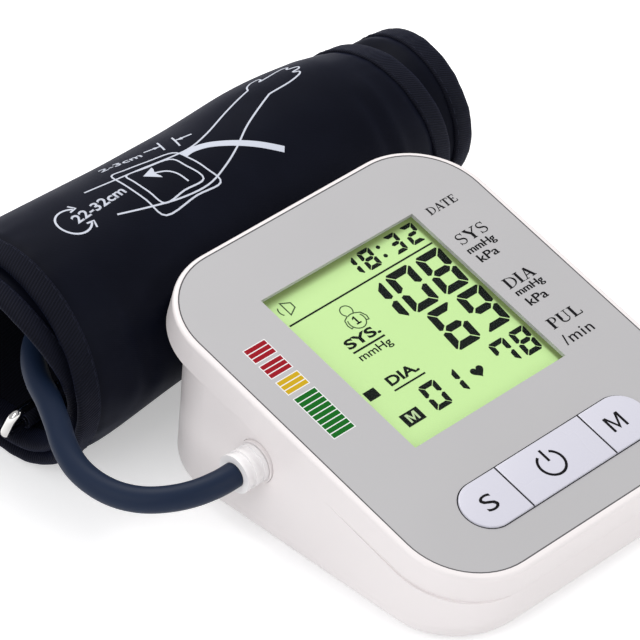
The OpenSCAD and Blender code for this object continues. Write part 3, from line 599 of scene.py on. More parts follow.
def segmentDigit(digit, x, y, w, h, t):
    # the lit bars of one seven-bar number, with cut ends and gaps between the bars
    gap, cut, m = t * 0.11, t * 0.17, h / 2
    tip, foot = h - gap - 2 * cut, m + t * 0.5 + gap
    if digit == "1":
        tip, foot = h - gap - t * 0.4, m + t * 0.4 + cut
    across = [(gap + 2 * cut, h), (w - gap - 2 * cut, h), (w - gap - cut, h - cut), (w - gap - t, h - t),
              (gap + t, h - t), (gap + cut, h - cut)]
    upper = [(0, tip), (0, m + 2 * cut), (t * 0.4, m + cut), (t, foot), (t, h - t - gap),
             (cut, h - gap - cut)]
    bars = {
        "a": across,
        "d": [(px, h - py) for px, py in across],
        "f": upper,
        "b": [(w - px, py) for px, py in upper],
        "e": [(px, h - py) for px, py in upper],
        "c": [(w - px, h - py) for px, py in upper],
        "g": [(t * 0.55 + gap, m), (t + gap, m + t * 0.48), (w - t - gap, m + t * 0.48),
              (w - t * 0.55 - gap, m), (w - t - gap, m - t * 0.48), (t + gap, m - t * 0.48)],
    }
    return [[(x + px + display["lean"] * py, y + py) for px, py in bars[name]] for name in litBars[digit]]


def displayInk(name, outlines, material="displayInk"):
    return signs(name, outlines, display["low"], display["high"], material)


def displayWords(words, x, y, height, width, bold):
    return textSign("words", words, x, y, width, height, display["low"], display["high"], "displayInk",
                    bold=bold)


def makeDisplay():
    outlines = [bar for number in numbers for bar in segmentDigit(*number)]
    for y in (35.1, 38.4):
        outlines.append(arc(12.9 + display["lean"] * (y - 33.5), y, 0.62, 0, 330, 11))
    outlines += stroke([(-24.9, 31.3), (26.7, 31.5)], 0.5)
    outlines += stroke([(-17.2, 15.3), (-6.0, 15.3)], 0.55) + stroke([(-16.8, 0.1), (-5.9, 0.1)], 0.5)
    outlines.append(box(-24.5, -20.7, 1.0, 4.1))
    heart = []
    for i in range(28):
        a = 2 * math.pi * i / 28
        rise = 13 * math.cos(a) - 5 * math.cos(2 * a) - 2 * math.cos(3 * a) - math.cos(4 * a)
        heart.append((6.0 + 2.05 * math.sin(a) ** 3, -7.35 + 0.125 * rise))
    outlines.append(heart)
    # the user's number
    outlines.append([(-8.8 + x, 23.2 + y) for x, y in (
        (-0.8, -1.35), (0.8, -1.35), (0.8, -0.95), (0.24, -0.95), (0.24, 1.35), (-0.12, 1.35), (-0.8, 0.85),
        (-0.8, 0.4), (-0.24, 0.8), (-0.24, -0.95), (-0.8, -0.95))])
    items = [displayInk("displayNumbers", outlines)]
    # boxed letter, light on dark
    items.append(displayInk("memoryPlate", [box(-21.9, -15.8, -10.9, -6.7)]))
    signs("memoryLetterLight", [letterM(-18.85, -8.75, 3.3, 2.9, 0.62)], -2.61, -2.49, "displayLight")
    items += [
        displayWords("SYS.", -11.5, 18.1, 3.2, 11.4, 0.028),
        displayWords("mmHg", -11.5, 12.8, 3.2, 11.0, 0.006),
        displayWords("DIA.", -11.3, 3.1, 3.1, 10.2, 0.028),
    ]
    # figure of a person round the user's number, and the speaker, in thin faint lines
    faint = ribbon(arc(-8.9, 26.9, 1.75, -50, 230, 20), 0.3)
    faint += ribbon(arc(-8.8, 23.0, 2.5, 65, 115, 6), 0.3)
    faint += ribbon(arc(-8.8, 22.9, 2.5, 150, 390, 22), 0.3)
    faint += ribbon([(-10.0, 25.4), (-11.6, 24.6), (-12.1, 22.9), (-11.8, 21.6), (-11.1, 21.8)], 0.3)
    faint += ribbon([(-7.7, 25.4), (-6.1, 24.6), (-5.4, 22.9), (-5.7, 21.6), (-6.4, 21.8)], 0.3)
    faint += ribbon([(-21.9, 38.5), (-19.3, 37.2), (-19.3, 35.4), (-21.9, 34.0)], 0.34, closed=True)
    faint += ribbon(arc(-21.9, 36.2, 2.1, 140, 220, 8), 0.32)
    displayInk("displaySigns", faint, "displayFaint")
    joined("displayNumbers", items)
    print("display made")


makeDisplay()

# legends and bars printed on the panel
ink = {"low": -0.03, "high": 0.035, "step": 0.0006, "weight": 1.42, "foot": 0.05, "gap": 0.05}

# own serif capitals on a letter one unit high: width, strokes as (x0, y0, x1, y1, weight),
# and feet as (x, y, length)
serifLetters = {
    "S": (0.62, [], []),
    "Y": (0.86, [(0.10, 0.97, 0.43, 0.45, 0.13), (0.76, 0.97, 0.43, 0.45, 0.055),
                 (0.43, 0.47, 0.43, 0.03, 0.13)],
          [(0.0, 0.97, 0.30), (0.56, 0.97, 0.30), (0.27, 0.03, 0.32)]),
    "D": (0.86, [(0.20, 0.97, 0.20, 0.03, 0.13)], [(0.02, 0.97, 0.34), (0.02, 0.03, 0.34)]),
    "I": (0.42, [(0.21, 0.97, 0.21, 0.03, 0.13)], [(0.03, 0.97, 0.36), (0.03, 0.03, 0.36)]),
    "A": (0.88, [(0.16, 0.03, 0.44, 0.97, 0.05), (0.44, 0.97, 0.76, 0.03, 0.13),
                 (0.25, 0.34, 0.64, 0.34, 0.05)], [(0.0, 0.03, 0.30), (0.56, 0.03, 0.34)]),
    "T": (0.78, [(0.39, 0.97, 0.39, 0.03, 0.13), (0.03, 0.97, 0.75, 0.97, 0.055),
                 (0.05, 0.97, 0.05, 0.74, 0.045), (0.73, 0.97, 0.73, 0.74, 0.045)], [(0.22, 0.03, 0.34)]),
    "E": (0.74, [(0.20, 0.97, 0.20, 0.03, 0.13), (0.05, 0.97, 0.66, 0.97, 0.055),
                 (0.20, 0.52, 0.50, 0.52, 0.05), (0.05, 0.03, 0.70, 0.03, 0.055),
                 (0.66, 0.97, 0.66, 0.76, 0.045), (0.70, 0.03, 0.70, 0.26, 0.045),
                 (0.50, 0.63, 0.50, 0.41, 0.045)], []),
    "P": (0.70, [(0.20, 0.97, 0.20, 0.03, 0.13)], [(0.02, 0.97, 0.3), (0.03, 0.03, 0.34)]),
    "U": (0.86, [(0.19, 0.97, 0.19, 0.36, 0.13), (0.68, 0.97, 0.68, 0.36, 0.05)],
          [(0.03, 0.97, 0.32), (0.54, 0.97, 0.28)]),
    "L": (0.72, [(0.20, 0.97, 0.20, 0.03, 0.13), (0.05, 0.03, 0.68, 0.03, 0.055),
                 (0.68, 0.03, 0.68, 0.28, 0.045)], [(0.03, 0.97, 0.34)]),
}
# the bows of the round letters: the line, and its weight along it
serifBows = {
    "D": ([(0.2, 0.97)] + arc(0.36, 0.5, 0.44, 82, -82, 22) + [(0.2, 0.03)],
          lambda t: 0.045 + 0.095 * math.sin(math.pi * t) ** 2),
    "P": ([(0.2, 0.97)] + arc(0.36, 0.74, 0.245, 80, -80, 16) + [(0.2, 0.49)],
          lambda t: 0.045 + 0.085 * math.sin(math.pi * t) ** 2),
    "U": ([(0.19, 0.40)] + arc(0.435, 0.33, 0.28, 185, 355, 18) + [(0.68, 0.40)],
          lambda t: 0.12 - 0.065 * t),
    "S": (arc(0.30, 0.745, 0.215, 25, 270, 18)[:-2] + arc(0.30, 0.265, 0.235, 82, -155, 20),
          lambda t: 0.055 + 0.075 * math.exp(-((t - 0.47) / 0.22) ** 2)),
}


def serifOutlines(letter):
    width, strokes, feet = serifLetters[letter]
    shapes = []
    for x0, y0, x1, y1, weight in strokes:
        shapes += stroke([(x0, y0), (x1, y1)], weight * ink["weight"])
    for x, y, length in feet:
        shapes += stroke([(x, y), (x + length, y)], ink["foot"])
    if letter in serifBows:
        shapes += ribbon(*serifBows[letter])
    if letter == "S":
        shapes += stroke([(0.505, 0.99), (0.505, 0.74)], 0.045) + stroke([(0.07, 0.27), (0.07, 0.0)], 0.045)
    return width, shapes


def serifWord(word, x, y, width, height):
    # a word of serif capitals that fills the given space about a centre
    letters = [serifOutlines(letter) for letter in word]
    scale = width / (sum(wide for wide, shapes in letters) + ink["gap"] * (len(word) - 1))
    outlines, start = [], 0.0
    for wide, shapes in letters:
        outlines += [[(x - width / 2 + (start + px) * scale, y - height / 2 + py * height)
                      for px, py in shape] for shape in shapes]
        start += wide + ink["gap"]
    return outlines


# each word of serif capitals: its image point, width and height
serifLegends = [("DATE", "dateWord", 10.2, 2.6), ("SYS", "systolicWord", 10.5, 3.7),
                ("DIA", "diastolicWord", 10.0, 3.6), ("PUL", "pulseWord", 11.1, 3.6)]
# units below: the word above them, their centre's place from its centre, width, height, added weight
sansLegends = [("mmHg", "systolicWord", -0.55, -4.5, 9.8, 3.1, 0.11),
               ("kPa", "systolicWord", -1.4, -7.8, 6.8, 2.7, 0.09),
               ("mmHg", "diastolicWord", 0.3, -4.0, 9.9, 3.0, 0.11),
               ("kPa", "diastolicWord", -0.7, -7.65, 6.8, 2.8, 0.09),
               ("/min", "pulseWord", -1.0, -6.0, 10.4, 3.4, 0.04)]
# coloured bars: each group's material, its place between the first and the last, length and bars
barGroups = [("redInk", 0.0, 4.6, 3), ("redInk", 0.25, 4.5, 3), ("yellowInk", 0.511, 4.5, 3),
             ("greenInk", 1.0, 15.1, 9)]
barShape = {"width": 7.1, "gap": 0.32, "rim": 0.28, "ground": 0.02, "high": 0.045}
panelSeam = {"width": 100.25, "length": 119.25, "round": 20.6, "gap": 0.36, "low": -0.25, "high": 0.012}


def makeBars():
    first, last = (Vector(facePlace(name, "face_panel")) for name in ("firstBars", "lastBars"))
    gap, rim = barShape["gap"], barShape["rim"]
    for number, (finish, share, length, count) in enumerate(barGroups, 1):
        x, y = first.lerp(last, share)
        left, right = x - barShape["width"] / 2, x + barShape["width"] / 2
        front, back = y - length / 2, y + length / 2
        signs("barGround%d" % number, [box(left - rim, right + rim, front - rim, back + rim)], ink["low"],
              barShape["ground"], "whiteInk")
        step = (length + gap) / count
        bars = [box(left, right, front + i * step, front + (i + 1) * step - gap) for i in range(count)]
        signs("bars%d" % number, bars, ink["low"], barShape["high"], finish)


def makeLegends():
    centres = {}
    for word, point, width, height in serifLegends:
        centres[point] = facePlace(point, "face_panel")
        # the letters' crossing strokes lie at slightly different heights, so no two faces coincide
        items = [signs("serif", [shape], ink["low"], ink["high"] + ink["step"] * i, "ink")
                 for i, shape in enumerate(serifWord(word, *centres[point], width, height))]
        joined("legend" + word.capitalize(), items)
    items = []
    for word, point, right, back, width, height, weight in sansLegends:
        # each word twice, a little apart, to make it heavier
        x, y = centres[point][0] + right, centres[point][1] + back
        for step in (-weight, weight):
            items.append(textSign("sans", word, x + step, y, width - weight * 2, height, ink["low"],
                                  ink["high"] + step * 0.01, "ink",
                                  spacing=1.12 if word == "/min" else 1.0))
    joined("legendUnits", items)
    makeBars()
    # painted shade of the gap round the panel: a dark strip set in the gap
    seam = roundedOutline(panelSeam["width"], panelSeam["length"], panelSeam["round"], 0.0, 0.0)
    signs("faceGapShade", ribbon(seam, panelSeam["gap"], closed=True), panelSeam["low"],
          panelSeam["high"], "seamShade")
    print("legends made")


makeLegends()

keyShape = {
    "top": 0.6, "round": 0.34, "steps": 4, "sink": 0.02, "ink": 0.05, "smooth": 38,
    "pillWidth": 64.0, "pillLength": 14.8, "pillMiddle": -41.5, "gap": 0.3, "partings": (-15.05, 15.05),
    "shadeLow": -0.4, "shadeHigh": 0.014, "partingHigh": 0.53, "partingHalf": 0.13, "letterWeight": 0.74,
}


def makeKey(node):
    # the CAD key with its upper edge rounded over
    mesh = bmesh.new()
    mesh.from_mesh(nodes[node].data)
    bmesh.ops.remove_doubles(mesh, verts=mesh.verts, dist=1e-6)
    bmesh.ops.dissolve_limit(mesh, angle_limit=math.radians(1), verts=mesh.verts, edges=mesh.edges)
    top = {v for v in mesh.verts if abs((faceInverse @ v.co).z - keyShape["top"] * mm) < 2e-5}
    rim = [e for e in mesh.edges if e.verts[0] in top and e.verts[1] in top
           and e.calc_face_angle(0) > math.radians(60)]
    bmesh.ops.bevel(mesh, geom=rim, offset=keyShape["round"] * mm, segments=keyShape["steps"], profile=0.5,
                    affect="EDGES", clamp_overlap=True)
    item = fromBmesh(node + "Cap", mesh)
    item.data.shade_smooth()
    item.data.set_sharp_from_angle(angle=math.radians(keyShape["smooth"]))
    finishPiece(item, "keyPlastic", node)
    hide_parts(node)


def makeKeyShade():
    # painted shade of the gaps between the keys and round them: a dark sheet set in the gaps, widest at the
    # back
    middle, gap = keyShape["pillMiddle"], keyShape["gap"]
    width, length = keyShape["pillWidth"] + gap, keyShape["pillLength"] + gap
    outline = roundedOutline(width, length, length / 2 - 0.01, 0.0, middle)
    straight = width / 2 - length / 2
    quads = []
    for a, b in zip(outline, outline[1:] + outline[:1]):
        quad = []
        for (x, y), out in ((a, 0), (b, 0), (b, 1), (a, 1)):
            away = (Vector((x, y)) - Vector((min(max(x, -straight), straight), middle))).normalized()
            quad.append(tuple(Vector((x, y)) + away * (0.13 + 0.1 * away.y if out else -0.12)))
        quads.append(quad)
    low, half, wide = keyShape["shadeLow"], keyShape["pillLength"] / 2 - 0.05, keyShape["partingHalf"]
    strips = [box(x - wide, x + wide, middle - half, middle + half) for x in keyShape["partings"]]
    joined("keyGapShade", [signs("rimShade", quads, low, keyShape["shadeHigh"], "gapShade"),
                           signs("partingShade", strips, low, keyShape["partingHigh"], "gapShade")])


def makeKeys():
    for node in ("set_key", "power_key", "memory_key"):
        makeKey(node)
    low, high = keyShape["top"] - keyShape["sink"], keyShape["top"] + keyShape["ink"]
    weight = keyShape["letterWeight"]
    textSign("setLetter", "S", *facePlace("setLetter", "set_key"), 4.1, 5.2, low, high, "ink",
             body="set_key")
    letter = letterM(*facePlace("memoryLetter", "memory_key"), 5.2, 4.9, weight)
    signs("memoryLetter", [letter], low, high, "ink", body="memory_key")
    x, y = facePlace("powerSign", "power_key")
    power = ribbon(arc(x, y, 3.8, 122, 418, 40), weight) + stroke([(x, y + 0.8), (x, y + 4.8)], weight)
    signs("powerSign", power, low, high, "ink", body="power_key")
    makeKeyShade()
    print("keys made")


makeKeys()

# the air hose, on the route that the CAD hose follows, in millimetres from the unit's centre
hoseShape = {
    "diameter": 0.0069,
    "route": [
        (-65.7, 14.4, 25.2), (-72.1, 16, 24.9), (-78, 19.2, 24.6), (-82.8, 23.9, 24.3),
        (-86.2, 29.6, 24.6), (-88, 35.9, 25.6), (-88.2, 42.4, 27.2), (-86.7, 48.4, 29.5),
        (-84.3, 53.9, 32.6), (-82.1, 59.6, 35.4), (-80.1, 65.6, 37.2), (-76.7, 71.2, 38.5),
        (-71.9, 75.7, 39.5), (-66, 78.8, 40.2), (-59.5, 80.3, 40.4),
    ],
    "sides": 24,
    "steps": 6,
}


def smoothRoute(points, steps):
    # Catmull-Rom curve through the points
    line = []
    last = len(points) - 1
    for i in range(last):
        a, b, c, d = (points[max(i - 1, 0)], points[i], points[i + 1], points[min(i + 2, last)])
        for k in range(steps):
            t = k / steps
            line.append(0.5 * (2 * b + (c - a) * t + (2 * a - 5 * b + 4 * c - d) * t * t
                               + (3 * b - a - 3 * c + d) * t ** 3))
    line.append(points[last])
    return line


def tubeAlong(name, line, radius, sides, firstDirection):
    # closed tube with a frame carried along the line, so that it doesn't twist
    vertices, normal = [], None
    for i, point in enumerate(line):
        ahead = Vector(firstDirection) if i == 0 else line[min(i + 1, len(line) - 1)] - line[i - 1]
        ahead.normalize()
        normal = normal or ahead.orthogonal().normalized()
        normal = (normal - ahead * normal.dot(ahead)).normalized()
        side = ahead.cross(normal)
        for k in range(sides):
            turn = 2 * math.pi * k / sides
            vertices.append(point + (normal * math.cos(turn) + side * math.sin(turn)) * radius)
    return newObject(name, vertices, tubeFaces(len(line), sides))


def makeHose():
    low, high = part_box("hose_plug")
    middle = (low + high) / 2
    points = [Vector((low.x, middle.y, middle.z))] + [unitCentre + Vector(p) * mm for p in hoseShape["route"]]
    line = smoothRoute(points, hoseShape["steps"])
    hose = tubeAlong("airHose", line, hoseShape["diameter"] / 2, hoseShape["sides"], (-1, 0, 0))
    finishPiece(hose, "hoseRubber", "cuff_set")
    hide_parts("air_hose")


makeHose()

# the same roll as the CAD cuff's, in millimetres from the unit's centre, turns in degrees from the tail
cuffShape = {
    "left": -77.0, "right": 73.0, "leftReach": 9.5, "rightReach": 17.0,
    "leftRadius": 33.3, "rightRadius": 26.9, "leftAxis": 84.6, "rightAxis": 97.6,
    "tail": -60.0, "turns": 750, "pitch": 3.8, "thickness": 3.0, "cloth": 0.7, "middleRadius": 29.5,
    "leftEdges": [(0, 0), (488, 0), (500, 0.3), (520, 0.67), (550, 0.92), (600, 1), (680, 0.74), (745, 0)],
    "rightEdges": [(0, 0.18), (140, 0.2), (255, -0.11), (300, -0.05), (450, 0.88), (520, 0.92), (600, 1),
                   (680, 0.76), (750, 0.24)],
    "leftTape": 7.0, "rightTape": 7.8, "crown": 0.55, "crownReach": 4.5, "seamDip": 0.35, "seamReach": 1.3,
    "swell": 2.1, "swellMiddle": 34, "swellReach": 25, "leftSpring": 1.3, "rightSpring": 1.9,
    "table": 0.05, "turnStep": 2, "columns": 96, "crowding": 0.44, "overlap": 0.8,
    # soft ridges along the roll: middle, width, first and last turn, height, slant
    "ridges": [(56, 2.6, 105, 205, 0.55, 0.02), (47, 3.4, 110, 190, 0.4, 0.05),
               (-58, 3.0, 95, 170, 0.5, -0.05), (-48, 3.6, 90, 160, 0.42, -0.09),
               (-53, 2.2, 95, 165, -0.35, -0.07), (51.5, 2.2, 105, 195, -0.3, 0.03)],
}


def between(table, turn):
    # value of a table at a turn, on straight lines between its rows
    if turn <= table[0][0]:
        return table[0][1]
    for (a, va), (b, vb) in zip(table, table[1:]):
        if turn <= b:
            return va + (vb - va) * (turn - a) / (b - a)
    return table[-1][1]


def eased(table, turn):
    # the same, with its corners rounded
    return sum(between(table, turn + d) for d in (-14, -7, 0, 7, 14)) / 5


def leftEdge(turn):
    return cuffShape["left"] - cuffShape["leftReach"] * eased(cuffShape["leftEdges"], turn)


def rightEdge(turn):
    return cuffShape["right"] + cuffShape["rightReach"] * eased(cuffShape["rightEdges"], turn)


def alongRoll(x, kind):
    # a measure of the roll, which changes evenly from its left end to its right
    share = (x - cuffShape["left"]) / (cuffShape["right"] - cuffShape["left"])
    return cuffShape["left" + kind] + (cuffShape["right" + kind] - cuffShape["left" + kind]) * share


def smooth(value):
    value = min(1.0, max(0.0, value))
    return value * value * (3 - 2 * value)


def relaxed(x, turn):
    # an inner wrap springs out a little where the outer wrap no longer holds it
    if turn < 360:
        return 0.0
    right = x - rightEdge(turn - 360) - 1.0
    left = leftEdge(turn - 360) - x - 0.5
    spring = cuffShape["rightSpring"] * smooth(right / 6) + cuffShape["leftSpring"] * smooth(left / 5)
    return smooth((turn - 360) / 60) * spring


def rollPoint(x, turn, depth):
    radius = alongRoll(x, "Radius") - cuffShape["pitch"] * turn / 360 - depth + relaxed(x, turn)
    angle = math.radians(cuffShape["tail"] - turn)
    # the roll lies flat where it rests on the table
    height = max(alongRoll(x, "Radius") + radius * math.sin(angle), cuffShape["table"])
    return unitCentre + Vector((x, alongRoll(x, "Axis") + radius * math.cos(angle), height)) * mm


def arcAt(turn):
    # millimetres along the band
    return turn / 360 * 2 * math.pi * cuffShape["middleRadius"]


def uneven(x, y, z):
    return noise.noise(Vector((x, y, z)))


def ridge(x, turn, middle, width, start, end, height, slant):
    # one soft ridge along the roll, fading out at both ends
    off = (x - middle - slant * (turn - (start + end) / 2)) / width
    return height * math.exp(-off * off) * smooth((turn - start) / 18) * smooth((end - turn) / 18)


def clothRise(x, turn):
    # how far the outer cloth stands out from the band's even surface
    left = x - leftEdge(turn) - cuffShape["leftTape"]
    right = rightEdge(turn) - cuffShape["rightTape"] - x
    near = max(0.0, min(left, right))
    crown = cuffShape["crown"] * (1 - math.exp(-near / cuffShape["crownReach"]))
    dip = cuffShape["seamDip"] * math.exp(-(near / cuffShape["seamReach"]) ** 2)
    u = arcAt(turn)
    free = smooth((360 - turn) / 40)
    soft = uneven(x / 34, u / 26, 3.1) * 0.55 + uneven(x / 13, u / 17, 7.7) * 0.16
    pucker = uneven(x / 26 + u / 30, u / 4.4, 1.3) * 0.34 * math.exp(-near / 5.0)
    ridges = sum(ridge(x, turn, *row) for row in cuffShape["ridges"])
    swell = cuffShape["swell"] * math.exp(-((x - cuffShape["swellMiddle"]) / cuffShape["swellReach"]) ** 2)
    swell *= smooth((turn - 175) / 60) * smooth((335 - turn) / 40) * smooth(near / 12)
    waves = (soft + ridges) * (0.25 + 0.75 * free) * smooth(near / 6) + pucker * (0.4 + 0.6 * free)
    return crown + swell - dip + waves


def mapCloth(item, sides, place):
    # the cloth's map in metres, for a row and a step; a ring's last face runs on past its first step
    layer = item.data.uv_layers.new(name="cloth")
    for polygon in item.data.polygons:
        spots = [divmod(item.data.loops[loop].vertex_index, sides) for loop in polygon.loop_indices]
        closing = {k for row, k in spots} == {0, sides - 1}
        for loop, (row, k) in zip(polygon.loop_indices, spots):
            u, v = place(row, sides if closing and k == 0 else k)
            layer.data[loop].uv = (u * mm, v * mm)


def outward(item):
    # turns a closed mesh's faces outward if they point in
    mesh = bmesh.new()
    mesh.from_mesh(item.data)
    if mesh.calc_volume(signed=True) < 0:
        bmesh.ops.reverse_faces(mesh, faces=mesh.faces)
        mesh.to_mesh(item.data)
    mesh.free()


def gridSheet(name, grid, outer, inner):
    # closed sheet over a grid of places on the roll, between two depths
    rows, columns = len(grid), len(grid[0])
    back = rows * columns
    vertices = [rollPoint(x, turn, depth(x, turn)) for depth in (outer, inner)
                for row in grid for x, turn in row]
    faces = []
    for i in range(rows - 1):
        for j in range(columns - 1):
            a, d = i * columns + j, (i + 1) * columns + j
            faces += [(a, a + 1, d + 1, d), (back + d, back + d + 1, back + a + 1, back + a)]
    for i in range(rows - 1):
        for j, order in ((0, 1), (columns - 1, -1)):
            a, d = i * columns + j, (i + 1) * columns + j
            faces.append((a, d, back + d, back + a)[::order])
    for j in range(columns - 1):
        for i, order in ((0, -1), (rows - 1, 1)):
            a = i * columns + j
            faces.append((a, a + 1, back + a + 1, back + a)[::order])
    item = newObject(name, vertices, faces)
    mapCloth(item, columns, lambda row, k: (arcAt(grid[row % rows][k][1]), grid[row % rows][k][0]))
    outward(item)
    return item


turns = list(range(0, cuffShape["turns"] + 1, cuffShape["turnStep"]))


def makeCloths():
    columns, cloth, thickness = cuffShape["columns"], cuffShape["cloth"], cuffShape["thickness"]
    # columns stand closer together near both seams
    crowding = cuffShape["crowding"] / (2 * math.pi)
    shares = [share - crowding * math.sin(2 * math.pi * share) for share in spread(0, 1, columns - 1)]
    grid = []
    for turn in turns:
        low = leftEdge(turn) + cuffShape["leftTape"] - cuffShape["overlap"]
        high = rightEdge(turn) - cuffShape["rightTape"] + cuffShape["overlap"]
        grid.append([(low + (high - low) * share, turn) for share in shares])
    cover = gridSheet("cuffCover", grid, lambda x, turn: -clothRise(x, turn), lambda x, turn: cloth + 0.4)
    finishPiece(cover, "cuffCloth", "cuff_set")
    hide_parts("cuff_cover")
    inside = gridSheet("cuffLining", grid, lambda x, turn: thickness - cloth,
                       lambda x, turn: thickness + uneven(x / 15, arcAt(turn) / 12, 9.2) * 0.18)
    finishPiece(inside, "liningCloth", "cuff_set")
    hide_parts("cuff_lining")
    print("cuff cloths made")
    return cover


def clothTube(name, rings, place, caps=None):
    # a closed piece of binding along rings of points, with its map
    sides = len(rings[0])
    faces = tubeFaces(len(rings), sides, capped=caps is None) + (caps or [])
    item = newObject(name, [point for ring in rings for point in ring], faces)
    mapCloth(item, sides, place)
    outward(item)
    return finishPiece(item, "bindingTape", "cuff_set")


def makeTape(name, side, replaced):
    # binding tape folded round one edge of the band, thinner at the fold
    width = cuffShape[side + "Tape"]
    profile = [
        (width, 0.9), (width, 0.0), (width - 0.12, -0.24), (width - 0.5, -0.38), (width - 1.3, -0.34),
        (width * 0.6, -0.16), (2.4, 0.05), (1.3, 0.25), (0.55, 0.55), (0.14, 0.98), (0.0, 1.5), (0.14, 2.02),
        (0.55, 2.42), (1.3, 2.75), (2.4, 2.95), (width * 0.6, 3.08), (width - 0.6, 3.2), (width - 0.1, 3.12),
        (width, 2.9), (width, 2.1),
    ]
    girth = [0.0]
    for a, b in zip(profile, profile[1:] + profile[:1]):
        girth.append(girth[-1] + math.dist(a, b))
    sign, edge = (1, leftEdge) if side == "left" else (-1, rightEdge)
    rings = []
    for turn in turns:
        u = arcAt(turn)
        wave = uneven(u / 9, 2.0, sign * 4.0) * 0.3 + uneven(u / 3.2, 5.0, sign) * 0.1
        ring = []
        for s, depth in profile:
            lift = 0.12 * uneven(u / 3.6, s / 3, 6.0 + sign)
            x = edge(turn) + sign * (s + wave * (1 - s / width * 0.5))
            ring.append(rollPoint(x, turn, depth - lift if depth < 1 else depth + lift * 0.5))
        rings.append(ring)
    tape = clothTube(name, rings, lambda row, k: (arcAt(turns[row]), girth[k]))
    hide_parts(replaced)
    return tape


def makeTailTape():
    # tape across the band's outer end, which lies low at the back
    low, high, steps = leftEdge(0) + 1.0, rightEdge(0) - 1.0, 40
    profile = [(5.0, 0.3), (5.0, -0.25), (3.0, -0.4), (0.5, -0.25), (-1.2, 0.3), (-1.9, 1.5), (-1.2, 2.7),
               (0.5, 3.15), (3.0, 3.2), (5.0, 3.1), (5.0, 2.4), (2.0, 1.5)]
    along = spread(low, high, steps)
    rings = [[rollPoint(x, turn, depth) for turn, depth in profile] for x in along]
    clothTube("tailTape", rings, lambda row, k: (along[row], k % len(profile) * 1.2))


def makeRingSleeve():
    # the band's inner end folded back round the ring's long rod
    end, steps, radius, thin, sweep, bends = cuffShape["turns"], 48, 1.95, 0.55, 118, 18
    low, high = cuffShape["left"] + 4.3, cuffShape["right"] - 0.3
    along = spread(low, high, steps)
    rings = []
    for x in along:
        centre = rollPoint(x, end + 10, 2.5)
        radial = (rollPoint(x, end + 10, 0) - centre).normalized()
        ahead = (rollPoint(x, end + 12, 2.5) - centre).normalized()
        wobble = 1 + 0.03 * uneven(x / 6, 1.0, 1.0)
        line = [rollPoint(x, end - 1, 0.9)]
        for a in map(math.radians, spread(sweep, -sweep, bends)):
            line.append(centre + (ahead * math.cos(a) + radial * math.sin(a)) * radius * mm * wobble)
        line.append(rollPoint(x, end - 1, 2.3))
        outside, inside = [], []
        for k, point in enumerate(line):
            run = (line[min(k + 1, len(line) - 1)] - line[max(k - 1, 0)]).normalized()
            normal = Vector((1, 0, 0)).cross(run).normalized() * thin * mm / 2
            outside.append(point + normal)
            inside.append(point - normal)
        rings.append(outside + inside[::-1])
    count = len(rings[0])
    caps = []
    for base, order in ((0, 1), (steps * count, -1)):
        for k in range(count // 2 - 1):
            caps.append((base + k, base + count - 1 - k, base + count - 2 - k, base + k + 1)[::order])
    sleeve = clothTube("ringSleeve", rings,
                       lambda row, k: (along[row], min(k % count, count - 1 - k % count) * 0.5),
                       caps=caps)
    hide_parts("ring_sleeve")


def makeTwillGroup():
    # fine slanted ribs with a little fuzz and fading, and painted shade in the grooves between them, on a map
    # in metres
    group, into, out = newGroup("twillWeave", {
        "Color": (0.02, 0.02, 0.04, 1), "Faded Color": (0.04, 0.04, 0.07, 1), "Rib Width": 0.0006,
        "Slant": 0.5, "Depth": 0.3, "Roughness": 0.7, "Rib Shade": 0.3})

    def computed(operation, *values):
        return calculate(group, operation, *values)

    cloth = addNode(group, "ShaderNodeUVMap", uv_map="cloth")
    split = addNode(group, "ShaderNodeSeparateXYZ", {0: cloth.outputs[0]}).outputs
    u, v = split["X"], split["Y"]
    place = addNode(group, "ShaderNodeTexCoord").outputs["Object"]
    bend = computed("MULTIPLY", computed("SUBTRACT", noiseOf(group, place, 90.0, 2.0), 0.5), 1.6)
    across = computed("MULTIPLY", computed("ADD", u, computed("MULTIPLY", v, into["Slant"])), 2 * math.pi)
    phase = computed("ADD", computed("DIVIDE", across, into["Rib Width"]), bend)
    rib = computed("MULTIPLY_ADD", computed("SINE", phase), 0.5, 0.5)
    other = computed("MULTIPLY", computed("SUBTRACT", v, computed("MULTIPLY", u, 0.35)), 2 * math.pi)
    crossing = computed("DIVIDE", other, computed("MULTIPLY", into["Rib Width"], 0.62))
    thread = computed("MULTIPLY_ADD", computed("SINE", crossing), 0.5, 0.5)
    height = computed("ADD", rib, computed("MULTIPLY", thread, 0.35))
    patch = mapRange(group, noiseOf(group, place, 34.0, 4.0, Roughness=0.6), 0.35, 0.72)
    # painted shade: the colour is darker in the grooves between the ribs
    shade = computed("MULTIPLY_ADD", computed("SUBTRACT", rib, 0.6), into["Rib Shade"], 1.0)
    tint = addNode(group, "ShaderNodeMix", {"Factor": patch, "A": into["Color"], "B": into["Faded Color"]},
                   data_type="RGBA").outputs["Result"]
    bump = addNode(group, "ShaderNodeBump", {"Distance": 0.00012, "Strength": into["Depth"],
                                             "Height": height})
    setInputs(group, out, {"Color": scaled(group, tint, shade),
                           "Roughness": computed("MULTIPLY_ADD", patch, -0.08, into["Roughness"]),
                           "Normal": bump.outputs[0]})
    return group


def clothMaterial(name, look):
    return groupMaterial(
        name, twillGroup,
        {"Color": (*look["color"], 1), "Faded Color": (*look["faded"], 1), "Rib Width": look["rib"],
         "Slant": look["slant"], "Depth": look["depth"], "Roughness": look["roughness"],
         "Rib Shade": look["shade"]},
        {"Sheen Weight": look["sheen"], "Sheen Roughness": 0.45, "Sheen Tint": (0.25, 0.33, 0.8, 1),
         "Specular IOR Level": look["specular"]})


